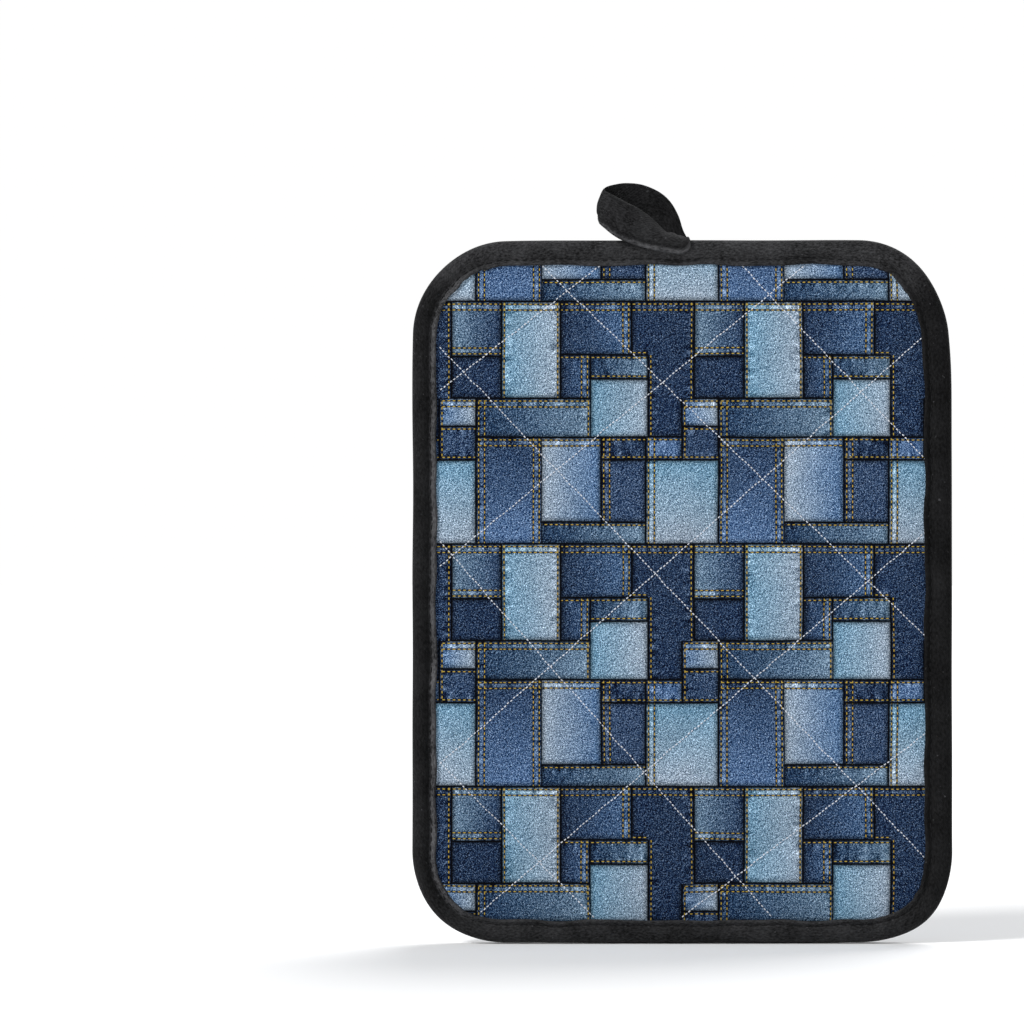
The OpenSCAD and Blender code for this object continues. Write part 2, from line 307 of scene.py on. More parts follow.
def surface(material, tree, shader, color, height, relief, strength):
    """Gives a material its colour and a relief of so many millimetres."""
    feed(tree, color, shader.inputs["Base Color"])
    bump = add_node(tree, "Bump", {"Height": height, "Distance": relief / MM, "Strength": strength})
    feed(tree, bump.outputs["Normal"], shader.inputs["Normal"])
    return material


# ---------- the printed patchwork ----------

TILE = 80.75              # the pattern repeats after this, both ways
PLAIN, SINGLE, DOUBLE = 0, 1, 2
OPEN = 20.0               # an edge with no seam lies this far off
SEAM_HALF = 0.31          # half width of the dark line between two patches
STITCH_IN = 0.86          # first row of stitches, from the seam
STITCH_ROWS = 1.95        # distance between two rows
STITCH_PERIOD = 1.73
STITCH_HALF_LENGTH = 0.45
STITCH_HALF_WIDTH = 0.15
ACROSS, DOWN = 0, 1       # which way a patch fades from its first tone to its second

# The tones are display values, 0 to 255: cloth is mixed as the eye sees it and turned into light last.
GOLD = (219, 180, 64)
INK = (14, 35, 65)
NAVY = (18, 38, 66)
SLATE = (21, 46, 76)
DUSK = (28, 50, 80)
INDIGO = (37, 58, 88)
DENIM = (54, 82, 117)
BLUE = (67, 95, 133)
TEAL = (88, 113, 136)
SKY = (69, 99, 136)
ICE = (96, 135, 161)
PALE = (135, 151, 168)

# Each patch of the print: left, top, right, bottom in the tile, the stitching of those four edges
# (None is an edge with no seam), its two tones and which way it fades.
PATCHES = [
    (0, 0, 19.5, 32.2, SINGLE, DOUBLE, SINGLE, PLAIN, ICE, PALE, ACROSS),
    (19.5, 0, 43.2, 17.8, PLAIN, DOUBLE, DOUBLE, PLAIN, NAVY, DENIM, ACROSS),
    (19.5, 17.8, 29.3, 32.2, PLAIN, SINGLE, DOUBLE, PLAIN, NAVY, DENIM, ACROSS),
    (29.3, 17.8, 48.8, 25.7, PLAIN, SINGLE, PLAIN, SINGLE, SLATE, TEAL, ACROSS),
    (29.3, 25.7, 48.8, 45.2, PLAIN, PLAIN, PLAIN, PLAIN, ICE, PALE, ACROSS),
    (43.2, 0, 48.8, 17.8, PLAIN, DOUBLE, None, SINGLE, INK, INK, ACROSS),
    (48.8, 0, 64, 17.8, None, DOUBLE, SINGLE, None, INK, NAVY, ACROSS),
    (48.8, 17.8, 64, 32.2, SINGLE, None, SINGLE, None, NAVY, INK, DOWN),
    (48.8, 32.2, 60, 45.2, SINGLE, None, PLAIN, PLAIN, INK, INK, DOWN),
    (64, 0, 80.75, 18.2, PLAIN, DOUBLE, PLAIN, DOUBLE, TEAL, DUSK, ACROSS),
    (64, 18.2, 80.75, 32.2, PLAIN, PLAIN, PLAIN, PLAIN, NAVY, INK, ACROSS),
    (72.2, 32.2, 110.4, 45.2, DOUBLE, DOUBLE, SINGLE, PLAIN, SLATE, TEAL, ACROSS),
    (60, 32.2, 72.2, 41.6, SINGLE, DOUBLE, PLAIN, PLAIN, SKY, PALE, ACROSS),
    (60, 41.6, 72.2, 52.7, SINGLE, SINGLE, PLAIN, SINGLE, DUSK, INDIGO, ACROSS),
    (72.2, 45.2, 94.1, 80.75, DOUBLE, DOUBLE, DOUBLE, PLAIN, DUSK, BLUE, DOWN),
    (12.95, 45.2, 33.2, 73.5, PLAIN, DOUBLE, PLAIN, PLAIN, PALE, SKY, ACROSS),
    (33.2, 45.2, 48.0, 52.7, DOUBLE, SINGLE, PLAIN, SINGLE, INK, NAVY, ACROSS),
    (48.0, 45.2, 60, 52.7, DOUBLE, SINGLE, PLAIN, SINGLE, BLUE, BLUE, ACROSS),
    (33.2, 52.7, 48.0, 73.5, DOUBLE, PLAIN, PLAIN, PLAIN, INDIGO, INDIGO, DOWN),
    (48.0, 52.7, 72.2, 80.75, DOUBLE, PLAIN, PLAIN, PLAIN, ICE, PALE, DOWN),
    (12.95, 73.5, 48.0, 80.75, PLAIN, SINGLE, PLAIN, PLAIN, SLATE, TEAL, ACROSS),
]
RAMP_LOW, RAMP_SPAN = -40.0, 200.0    # the range of edge places that a ramp holds
RAMP_STEPS = 32                       # and how many patches
SEAM_DARK = (0.02, 0.03, 0.05)        # display colour of the dark seams
UNDER_STITCH = (0.03, 0.05, 0.10)     # and of the line that the stitches lie in


def tile_patches():
    """The patches with every one that runs over the tile's right side entered once more, a tile
    further left."""
    wrapped = [(p[0] - TILE, p[1], p[2] - TILE, *p[3:]) for p in PATCHES if p[2] > TILE]
    return PATCHES + wrapped


def ramp_of(tree, index, rows):
    """Looks up four numbers by patch: rows holds them for each patch."""
    node = add_node(tree, "ValToRGB", {0: index})
    ramp = node.color_ramp
    ramp.interpolation = "CONSTANT"
    for k, row in enumerate(rows):
        stop = ramp.elements[k] if k < 2 else ramp.elements.new(k / RAMP_STEPS)
        stop.position = k / RAMP_STEPS
        stop.color = row
    split = add_node(tree, "SeparateColor", {0: node.outputs[0]})
    values = [Field(tree, split.outputs[c]) for c in range(3)] + [Field(tree, node.outputs[1])]
    return node.outputs[0], values


def patch_edge(along, distance, style, streaks):
    """What one edge of a patch adds: the dark seam, the dark line under its stitches, the shadow
    beside a seam, the gold stitches, and the lighter hems and puckers that stitching draws."""
    stitched, doubled = style.over(0.25), style.over(0.75)
    seam = ((SEAM_HALF - distance) * 2.8 + 0.5).clamped()
    hem = distance.near(0.60, 0.06, 0.25) * stitched

    def rows(half_width, edge):
        first = distance.near(STITCH_IN, half_width, edge) * stitched
        return first.most(distance.near(STITCH_IN + STITCH_ROWS, half_width, edge) * doubled)

    dash = along.modulo(STITCH_PERIOD).near(STITCH_PERIOD / 2, STITCH_HALF_LENGTH, 0.3)
    closeness = (1 - distance * 0.40).clamped()
    shadow = closeness * closeness * (1 - stitched * 0.6)
    reach = (1 - distance * 0.23).clamped() * stitched
    ridge = distance.near(STITCH_IN + STITCH_ROWS / 2, 0.4, 0.5) * doubled
    return {"seam": seam, "line": rows(STITCH_HALF_WIDTH + 0.14, 0.3), "shadow": shadow,
            "gold": rows(STITCH_HALF_WIDTH, 0.22) * dash,
            "pucker": reach * (streaks - 0.5) * 2.0 + hem * 0.16 + ridge * 0.08}


def patchwork(tree, u, v):
    """Colour of the print at cloth coordinates u (right) and v (down), in millimetres."""
    tile_u, tile_v = u.modulo(TILE), v.modulo(TILE)
    rows = tile_patches()
    index = None
    for k, (l, t, r, b, *_) in enumerate(rows):
        inside = tile_u.over(l) * tile_u.under(r) * tile_v.over(t) * tile_v.under(b)
        term = inside * (k / RAMP_STEPS)
        index = term if index is None else index + term
    index = index + 0.5 / RAMP_STEPS

    def place(value, style, outward):
        value = value + outward * OPEN if style is None else value
        return (value - RAMP_LOW) / RAMP_SPAN

    _, sides = ramp_of(tree, index, [
        (place(l, sl, -1), place(t, st, -1), place(r, sr, 1), place(b, sb, 1))
        for l, t, r, b, sl, st, sr, sb, *_ in rows])
    _, styles = ramp_of(tree, index, [[(s or 0) / 2 for s in row[4:8]] for row in rows])
    first, (*_, fades_down) = ramp_of(tree, index, [(*display(row[8]), row[10]) for row in rows])
    second, _ = ramp_of(tree, index, [(*display(row[9]), 1) for row in rows])

    left, top, right, bottom = [side * RAMP_SPAN + RAMP_LOW for side in sides]
    from_left, from_top = tile_u - left, tile_v - top
    to_right, to_bottom = right - tile_u, bottom - tile_v

    # Streaks that run away from the horizontal edges, and from the vertical ones.
    upright = noise_at(tree, u * 0.50, v * 0.16, 1.0, 2.0, 0.5)
    level = noise_at(tree, u * 0.16, v * 0.50, 1.0, 2.0, 0.5, 7.0)
    edges = [
        patch_edge(tile_v, from_left, styles[0], level), patch_edge(tile_u, from_top, styles[1], upright),
        patch_edge(tile_v, to_right, styles[2], level), patch_edge(tile_u, to_bottom, styles[3], upright),
    ]

    def over_edges(key, join):
        total = edges[0][key]
        for edge in edges[1:]:
            total = total.most(edge[key]) if join == "most" else total + edge[key]
        return total

    fade_across = from_left.math("DIVIDE", from_left + to_right)
    fade_down = from_top.math("DIVIDE", from_top + to_bottom)
    fade = fade_across + (fade_down - fade_across) * fades_down
    cloudy = noise_at(tree, u, v, 0.09, 1.0, 0.5, 3.0) - 0.5
    fade = (fade * 1.15 - 0.075 + cloudy * 0.35).clamped()
    color = blend_color(tree, "MIX", fade, first, second)

    # Denim grain: slanting light and dark threads over a finer salt-and-pepper.
    threads = noise_at(tree, (u - v) * 2.3, (u + v) * 1.15, 1.0, 1.0, 0.6, 11.0) - 0.5
    pepper = noise_at(tree, u, v, 4.6, 1.0, 0.5, 19.0) - 0.5
    shade = over_edges("shadow", "most") * 0.56
    grain = threads * 1.3 + pepper * 1.3 + over_edges("pucker", "add") * 0.8
    grain = grain * (1 - shade)
    color = scaled_color(tree, color, 1 - shade)
    gray_grain = add_node(tree, "CombineXYZ", {0: grain, 1: grain, 2: grain}).outputs[0]
    color = blend_color(tree, "ADD", 1.0, color, gray_grain)
    color = blend_color(tree, "MIX", over_edges("line", "most") * 0.78, color, UNDER_STITCH)
    color = blend_color(tree, "MIX", over_edges("gold", "most") * 0.92, color, display(GOLD))
    color = blend_color(tree, "MIX", over_edges("seam", "most") * 0.96, color, SEAM_DARK)
    color = blend_color(tree, "LIGHTEN", 1.0, color, SEAM_DARK)
    return add_node(tree, "Gamma", {0: color, 1: 2.2}).outputs[0]


def printed_cotton(name):
    """Plain-weave cotton with the patchwork printed on it."""
    material, tree, shader = new_material(name, 0.9)
    u, v = cloth_coordinates(tree)
    weave = noise_at(tree, u * 3.0, v * 3.0, 1.0, 2.0, 0.6)
    return surface(material, tree, shader, patchwork(tree, u, v), weave, 0.10, 0.5)


# ---------- plain cloths ----------

def black_cloth(name, tone, streak_u, streak_v, mottle, with_painted_light=False):
    """Matt black cotton: fine grain, faint cloudiness, a little lint. The grain is drawn out more
    the smaller a streak number is, and stronger with mottle. When asked, the cloth's lightness is
    also scaled by the painted light and shade stored on its points."""
    material, tree, shader = new_material(name, 0.92, 0.10, 0.03)
    u, v = cloth_coordinates(tree)
    grain = noise_at(tree, u * streak_u, v * streak_v, 1.0, 3.0, 0.7) - 0.5
    cloud = noise_at(tree, u, v, 0.11, 2.0, 0.55, 5.0) - 0.5
    light = (grain * mottle + cloud * 2.2 + 1.0).most(0.2)
    if with_painted_light:
        # Painted light and shade: the cloth's lightness is scaled by the factor stored on its points.
        painted_light = add_node(tree, "Attribute", attribute_name="painted_light")
        light = light * Field(tree, painted_light.outputs["Fac"])
    color = scaled_color(tree, srgb(*tone), light)
    specks = noise_at(tree, u, v, 0.85, 1.0, 0.5, 31.0)
    lint = ((specks - 0.735) * 14).clamped()
    color = blend_color(tree, "MIX", lint * 0.35, color, srgb(100, 100, 102))
    twill = (u * 5.2 + v * 5.2).math("SINE")
    return surface(material, tree, shader, color, twill * 0.25 + grain * 1.4, 0.16, 0.7)


def thread_material(name, tone):
    """Two-ply spun thread: its twist runs slantwise round it."""
    material, tree, shader = new_material(name, 0.7, 0.2)
    u, v = cloth_coordinates(tree)
    twist = (u * 9.0 + v * 6.3).math("SINE")
    # Painted shade: the colour is lighter on the twist's ridges and darker in the grooves between them.
    color = scaled_color(tree, srgb(*tone), twist * 0.10 + 0.95)
    return surface(material, tree, shader, color, twist, 0.05, 0.6)


def felt_material(name, tone):
    """Needled felt: soft blotches and short fibres."""
    material, tree, shader = new_material(name, 0.95)
    u, v = cloth_coordinates(tree)
    fibres = noise_at(tree, u, v, 1.6, 3.0, 0.7)
    color = scaled_color(tree, srgb(*tone), fibres * 0.35 + 0.8)
    return surface(material, tree, shader, color, fibres, 0.3, 0.7)


PRINT = printed_cotton("printed_cotton")
LINING = black_cloth("black_lining", (46, 46, 48), 1.5, 1.5, 3.0)
TAPE = black_cloth("black_tape", (37, 37, 38), 0.8, 1.5, 4.6, with_painted_light=True)
BLACK_THREAD = thread_material("black_thread", (22, 22, 24))
WHITE_THREAD = thread_material("white_thread", (226, 229, 236))
GREY_THREAD = thread_material("grey_thread", (136, 136, 138))
FELT = felt_material("barrier_felt", (196, 198, 202))


# ---------- quilted sheets: cloth pinned along its seams and blown up a little ----------

CORE_W, CORE_H = HALF_W - CORNER_R, HALF_H - CORNER_R     # half sizes up to where the corners start


def depth_inside(x, z, inset):
    """How far places from the pad's middle lie inside the mitt's outline drawn in by inset."""
    radius = CORNER_R - inset
    past_x = np.abs(x) - (HALF_W - inset - radius)
    past_z = np.abs(z) - (HALF_H - inset - radius)
    outside = np.hypot(np.maximum(past_x, 0), np.maximum(past_z, 0))
    return -(outside + np.minimum(np.maximum(past_x, past_z), 0) - radius)


def pull_inside(x, z, inset):
    """Points outside that outline moved to the nearest point of it."""
    radius = CORNER_R - inset
    core_w, core_h = HALF_W - inset - radius, HALF_H - inset - radius
    core_x, core_z = np.clip(x, -core_w, core_w), np.clip(z, -core_h, core_h)
    off = np.stack([x - core_x, z - core_z], -1)
    length = np.maximum(np.linalg.norm(off, axis=-1), 1e-9)
    share = np.minimum(1, radius / length)
    return core_x + off[:, 0] * share, core_z + off[:, 1] * share


class Seams:
    """Quilting seams guided by hand, in two families: each seam has its own slope, rising to the
    right as the printed face is seen, and its own distance from the middle of the pad."""

    def __init__(self, falling, rising):
        self.families = [[self.line(*seam) for seam in family] for family in (falling, rising)]

    @staticmethod
    def line(slope, distance):
        angle = math.radians(slope)
        along = np.array([math.cos(angle), math.sin(angle)])
        normal = np.array([-along[1], along[0]])
        return distance, along, normal

    def offset(self, x, z, family):
        """Signed distance to the family's nearest seam, and that seam's normal."""
        away = np.array([x * n[0] + z * n[1] - d for d, _, n in self.families[family]])
        nearest = np.argmin(np.abs(away), axis=0)
        normals = np.array([n for _, _, n in self.families[family]])[nearest]
        return np.take_along_axis(away, nearest[None], 0)[0], normals

    def distance(self, x, z):
        return np.minimum(*[np.abs(self.offset(x, z, family)[0]) for family in (0, 1)])

    def lines(self):
        """Every seam as a point on it, a direction and a normal."""
        return [(n * d, along, n) for family in self.families for d, along, n in family]


QUARTER = CORNER_R * math.pi / 2      # length of the edge round one corner


def outline(step):
    """Points, outward directions and lengths along the mitt's outer edge, clockwise from the
    middle of the top as the printed face is seen."""
    legs = [CORE_W, QUARTER, 2 * CORE_H, QUARTER, 2 * CORE_W, QUARTER, 2 * CORE_H, QUARTER, CORE_W]
    back = [0, 0, CORE_H, 0, CORE_W, 0, CORE_H, 0, CORE_W]    # from a side's middle to its start
    ends = np.cumsum([0] + legs)
    total = ends[-1]
    along = np.arange(round(total / step)) * total / round(total / step)
    points, outward = np.zeros((len(along), 2)), np.zeros((len(along), 2))
    corners = [(1, 1), (1, -1), (-1, -1), (-1, 1)]
    faces = [(0, 1), (1, 0), (0, -1), (-1, 0), (0, 1)]
    for k, s in enumerate(along):
        leg = min(int(np.searchsorted(ends, s, side="right")) - 1, 8)
        t = s - ends[leg]
        if leg % 2:
            turn = math.pi / 2 - (leg // 2) * math.pi / 2 - t / CORNER_R
            out = np.array([math.cos(turn), math.sin(turn)])
            points[k] = np.multiply(corners[leg // 2], (CORE_W, CORE_H)) + out * CORNER_R
        else:
            out = np.array(faces[leg // 2], float)
            ahead = np.array([out[1], -out[0]])
            points[k] = out * (HALF_W, HALF_H) - ahead * back[leg] + ahead * t
        outward[k] = out
    return points, outward, along, total


EDGE, EDGE_OUT, EDGE_ALONG, EDGE_LENGTH = outline(0.8)
CORNERNESS = smooth(2 * np.abs(EDGE_OUT[:, 0] * EDGE_OUT[:, 1]), 0.05, 0.8)
# The corners came out a little different: how far each is drawn in, how far on from its middle and
# over what length, clockwise from the top right.
CORNER_DRAW = [(1.9, 13, 18), (-1.7, 0, 13), (-0.8, 0, 13), (1.0, 0, 20)]


def drawn_in(along):
    """How far the outer edge is drawn in, at places along it."""
    middles = np.cumsum([CORE_W + QUARTER / 2, 2 * CORE_H + QUARTER, 2 * CORE_W + QUARTER,
                         2 * CORE_H + QUARTER])
    return sum(amount * np.exp(-((along - middle - shift) / length) ** 2)
               for (amount, shift, length), middle in zip(CORNER_DRAW, middles))


def drawn_near(x, z, within):
    """The same for points inside the mitt, fading towards its middle."""
    away = (x[:, None] - EDGE[None, :, 0]) ** 2 + (z[:, None] - EDGE[None, :, 1]) ** 2
    return drawn_in(EDGE_ALONG[np.argmin(away, 1)]) * smooth(within, 24, 8)


def cloth_puff(x, z, quads, pinned, slack):
    """The rest shape of a cloth pinned at some points, with slack over its flat size, under gentle
    pressure: the shift of every point across, up and out of its plane. The cloth is simulated at
    ten times its size, where the solver's steps suit it."""
    size = 10.0
    name = "cloth_trial"
    mesh = bpy.data.meshes.new(name)
    flat = np.stack([x, np.zeros_like(x), z], -1)
    mesh.from_pydata((flat * size / MM).tolist(), [], quads.tolist())
    trial = bpy.data.objects.new(name, mesh)
    bpy.context.scene.collection.objects.link(trial)
    group = trial.vertex_groups.new(name="sewn")
    group.add(np.nonzero(pinned)[0].tolist(), 1.0, "REPLACE")
    cloth = trial.modifiers.new("cloth", "CLOTH").settings
    cloth.quality = 5
    cloth.mass = 0.3
    cloth.vertex_group_mass = "sewn"
    cloth.use_pressure = True
    cloth.uniform_pressure_force = 4.0
    cloth.shrink_min = -slack
    cloth.bending_stiffness = 0.5
    cloth.effector_weights.gravity = 0.0
    for step in range(1, 21):
        bpy.context.scene.frame_set(step)
    graph = bpy.context.evaluated_depsgraph_get()
    settled = trial.evaluated_get(graph).to_mesh()
    co = np.zeros(len(x) * 3, np.float32)
    settled.vertices.foreach_get("co", co)
    trial.evaluated_get(graph).to_mesh_clear()
    bpy.data.objects.remove(trial)
    bpy.context.scene.frame_set(1)
    shift = co.reshape(-1, 3) * MM / size - flat
    return shift[:, 0], shift[:, 2], np.abs(shift[:, 1])


class Sheet:
    """A flat quilted sheet in the pad's plane, with the puff of each of its points. It lies
    inside a rounded rectangle and, where top is given, below that height."""

    def __init__(self, inset, seams, cell, slack, cap, top=None):
        half_w, half_h = HALF_W - inset, HALF_H - inset
        upper = half_h if top is None else top
        columns = round(2 * half_w / cell) + 1
        rows = round((upper + half_h) / cell) + 1
        x, z = [a.ravel() for a in np.meshgrid(np.linspace(-half_w, half_w, columns),
                                               np.linspace(-half_h, upper, rows))]
        outside = depth_inside(x, z, inset) < 0
        x, z = pull_inside(x, z, inset)
        quads = grid_quads(rows, columns)
        quads = quads[outside[quads].sum(1) < 3]
        used = np.unique(quads)
        renumber = np.full(len(x), -1)
        renumber[used] = np.arange(len(used))
        x, z, quads = x[used], z[used], renumber[quads]
        within = depth_inside(x, z, inset)
        sewn = np.zeros(len(x), bool)
        for family in (0, 1):
            away, normal = seams.offset(x, z, family)
            close = (np.abs(away) < cell / 2) & (within > cell)
            if top is not None:
                close &= z < upper - cell
            x[close] -= (away * normal[:, 0])[close]
            z[close] -= (away * normal[:, 1])[close]
            sewn |= np.abs(seams.offset(x, z, family)[0]) < 0.1 * cell
        drawn = drawn_near(x, z, within)
        held = sewn | (within < LEG - inset + drawn)
        if top is not None:
            held |= z > upper - 2.5 * cell
        self.x, self.z, self.quads, self.within = x, z, quads, within + inset - drawn
        inward = np.maximum(drawn, 0) * smooth(within + inset, LEG, 4) * math.sqrt(0.5)
        self.in_x, self.in_z = -inward * np.sign(x), -inward * np.sign(z)
        self.across, self.up, self.puff = cloth_puff(x, z, quads, held, slack)
        self.puff = cap * np.tanh(self.puff / cap)

    def border(self):
        """The sheet's outline as pairs of point numbers, in the order of its quads."""
        edges = np.concatenate([self.quads[:, [a, (a + 1) % 4]] for a in range(4)])
        low, high = edges.min(1).astype(np.int64), edges.max(1)
        _, first, count = np.unique(low * len(self.x) + high, return_index=True, return_counts=True)
        return edges[first[count == 1]]


def padded_piece(name, sheet, outer, inner, uv, material, levels=1, flip=False):
    """A closed padded solid: a sheet's outer points, its inner points and the walls between."""
    count = len(sheet.x)
    edges = sheet.border()
    walls = np.stack([edges[:, 1], edges[:, 0], edges[:, 0] + count, edges[:, 1] + count], -1)
    faces = np.concatenate([sheet.quads, sheet.quads[:, ::-1] + count, walls])
    if flip:
        faces = faces[:, ::-1]
    return make_piece(name, np.concatenate([outer, inner]), faces, material,
                      np.concatenate([uv, uv]), levels)


class Skin:
    """Finds the surface of a piece from outside it, along Y."""

    def __init__(self, piece, toward):
        mesh = piece.data
        self.tree = BVHTree.FromPolygons([v.co for v in mesh.vertices], [p.vertices for p in mesh.polygons])
        self.toward = toward

    def depth(self, x, z):
        """Y of the surface at each x and z, seen from the side that toward points away from."""
        start = -self.toward * 0.2
        found = []
        for a, b in zip(x, z):
            hit = self.tree.ray_cast(Vector((a / MM, start, b / MM)), Vector((0, self.toward, 0)))[0]
            found.append(np.nan if hit is None else hit.y * MM)
        return np.array(found)


FRONT_SEAMS = Seams([(-46.5, 89), (-44, 45.5), (-46.5, -2.5), (-48.5, -49.5), (-45, -97.5)],
                    [(38, 102.5), (39.5, 58), (41.5, 10.5), (40.5, -37.5), (37, -86.5)])
BACK_SEAMS = Seams([(-47, 84.5), (-45, 41), (-45.5, -5), (-45.5, -51), (-45.5, -97)],
                   [(41, 97), (41.5, 51), (41.5, 5), (41.5, -41), (41.5, -87)])
POCKET_SEAMS = Seams([(-43, 104), (-43, 57), (-42.5, 9.5), (-40, -40), (-38, -88), (-38, -135)],
                     [(44, 106), (44, 59.5), (45, 12.5), (46.5, -34), (42.5, -80), (42.5, -135)])


def pad_points(sheet, seam_y, out, puff_scale=1.0):
    """The sheet's points as they lie on the pad; out is -1 for the printed side, 1 for the hand's."""
    z = sheet.z + sheet.up + sheet.in_z
    x = sheet.x + sheet.across + sheet.in_x
    squeeze = 0.5 * smooth(sheet.within, LEG + 4, LEG - 1)
    y = seam_y + out * (sheet.puff * puff_scale - squeeze)
    return np.stack([x, y + sway(sheet.x, sheet.z), z + MIDDLE_Z], -1)


def flat_points(sheet, y):
    x, z = sheet.x + sheet.in_x, sheet.z + sheet.in_z
    return np.stack([x, y + sway(sheet.x, sheet.z), z + MIDDLE_Z], -1)


SHEET_INSET = 3.0
CELL = 2.3
PRINT_LEFT, PRINT_TOP = -60.2, 96.55       # one corner of the print's tile on the front, from the middle
POCKET_PRINT_LEFT, POCKET_PRINT_TOP = -57.7, 68.9     # and on the pocket, as it is seen from behind

front_sheet = Sheet(SHEET_INSET, FRONT_SEAMS, CELL, 0.009, 2.4)
front_quilt = padded_piece(
    "front_quilt", front_sheet, pad_points(front_sheet, FRONT_SEAM_Y, -1),
    flat_points(front_sheet, LINER_LOW[1] - 0.05),
    np.stack([front_sheet.x - PRINT_LEFT, PRINT_TOP - front_sheet.z], -1), PRINT)
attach(front_quilt, "pad")
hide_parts("front_cover", "front_batting")

back_sheet = Sheet(SHEET_INSET, BACK_SEAMS, CELL, 0.010, 2.6)
under_pocket = smooth(back_sheet.z + MIDDLE_Z, 6, -22)
back_quilt = padded_piece(
    "back_quilt", back_sheet, pad_points(back_sheet, BACK_SEAM_Y, 1, 1 - 0.6 * under_pocket),
    flat_points(back_sheet, LINER_HIGH[1] + 0.05),
    np.stack([back_sheet.x, back_sheet.z], -1), LINING, flip=True)
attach(back_quilt, "pad")
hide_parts("back_lining", "back_batting")

LINER_INSET = SHEET_INSET - 1
liner_sheet = Sheet(LINER_INSET, FRONT_SEAMS, 6.0, 0.0, 0.1)
barrier_felt = padded_piece(
    "barrier_felt", liner_sheet, flat_points(liner_sheet, LINER_LOW[1] + 0.05),
    flat_points(liner_sheet, LINER_HIGH[1] - 0.05),
    np.stack([liner_sheet.x, liner_sheet.z], -1), FELT, levels=0)
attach(barrier_felt, "pad")
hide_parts("heat_liner")
2 * (HALF_H - LINER_INSET) / MM


# ---------- the bound edge ----------

def spline(points, count):
    """Smooth runs of count steps from each point to the next, but for the first and the last two,
    which only guide them. The first axis goes from point to point."""
    t = (np.arange(count) / count).reshape(1, -1, *([1] * (points.ndim - 1)))
    p0, p1, p2, p3 = [points[k:len(points) - 3 + k][:, None] for k in range(4)]
    curve = 0.5 * (2 * p1 + (p2 - p0) * t + (2 * p0 - 5 * p1 + 4 * p2 - p3) * t**2
                   + (3 * p1 - p0 - 3 * p2 + p3) * t**3)
    return curve.reshape(-1, *points.shape[1:])


def closed_curve(corners, count):
    """A closed smooth curve through the corners, count steps from one to the next."""
    p = np.array(corners, float)
    return spline(np.concatenate([p[-1:], p, p[:2]]), count)


def open_curve(points, count):
    """A smooth curve through the points, from the first to the last."""
    before, after = 2 * points[:1] - points[1:2], 2 * points[-1:] - points[-2:-1]
    return np.concatenate([spline(np.concatenate([before, points, after]), count), points[-1:]])


SEAM_IN = 7.0         # the binding's seam, from the outer edge
STITCH_STEP = 3.0     # from one of its stitches to the next
DENT = 0.12           # how deep each draws the tape in
# One half of the tape's section: [inset from the outer edge, distance out of the pad's middle].
TAPE_SECTION = [
    (0.0, 0.0), (0.25, 1.9), (1.0, 3.1), (2.4, 3.75), (4.0, 3.8), (5.6, 3.3), (6.5, 2.7), (7.0, 2.45),
    (7.5, 2.75), (8.2, 3.25), (8.8, 3.1), (9.05, 2.4), (8.9, 1.9), (6.0, 1.7), (2.2, 1.6),
]


def tape_section():
    """The whole closed section: the printed side's half, then the hand side's."""
    front = [(inset, -out) for inset, out in TAPE_SECTION]
    return closed_curve(front + [(1.6, 0.0)] + TAPE_SECTION[:0:-1], 3)


def binding_rings():
    """Points of the binding, station by station, with the puckers that sewing gives it."""
    flat_inset, depth = tape_section().T[:, None, :]
    front = (depth < 0).astype(float)
    s = EDGE_ALONG[:, None]
    right, up = EDGE_OUT[:, :1], EDGE_OUT[:, 1:]
    corner = CORNERNESS[:, None]
    # The legs' visible width: on the printed side widest at the right, narrowest at the bottom; wider
    # and even on the back.
    width = np.where(front > 0, 8.6 + 0.7 * right + 0.4 * up - 0.6 * np.abs(up), 9.9)
    wander = ripple(s, EDGE_LENGTH, (38, 21), 11) * 0.45
    wander_back = ripple(s, EDGE_LENGTH, (30, 17), 12) * 0.4
    puckered = corner * np.where(front > 0, 1, smooth(up, -0.2, 0.3))
    zigzag = ripple(s, EDGE_LENGTH, (8.5, 6.0), 13) * (0.12 + 2.1 * puckered)
    inner_share = smooth(flat_inset, 3.0, 8.5)
    stretch = np.where(front > 0, wander + 0.12 * zigzag, wander_back + zigzag)
    inset = flat_inset * (1 + (width / LEG - 1) * smooth(flat_inset, 0.5, 6)) + stretch * inner_share
    # Puckers across the tape: small dents at each stitch, wider folds round the corners.
    stitch = np.cos(2 * math.pi * s / STITCH_STEP)
    dents = DENT * stitch * np.exp(-((flat_inset - SEAM_IN) / 1.1) ** 2)
    folds = ripple(s, EDGE_LENGTH, (7.0, 5.0), 14) * smooth(flat_inset, 2.0, 6.0)
    folds = folds * np.where(front > 0, 0.10 + 0.12 * corner, 0.14 + 0.12 * corner + 1.3 * puckered)
    rolls = ripple(s + 0.8 * flat_inset, EDGE_LENGTH, (26, 14), 15) * 0.16
    swell = (dents + folds + rolls) * smooth(np.abs(depth), 1.9, 2.6)
    depth = depth + np.sign(depth) * swell
    # On the back the tape also covers the pocket's edge, and stands higher for it.
    over_pocket = smooth(EDGE[:, 1:] + MIDDLE_Z, 4, -2) * (1 - front)
    depth = depth + over_pocket * 1.15 * smooth(flat_inset, 4.5, 7.5)
    wave = ripple(s, EDGE_LENGTH, (120, 60), 16) * 0.15 + drawn_in(s) + 0.33 * np.abs(up)
    x, z = EDGE[:, :1] - right * (inset + wave), EDGE[:, 1:] - up * (inset + wave)
    y = MIDDLE_Y + depth + sway(x, z)
    return np.stack([x, y, z + MIDDLE_Z], -1)


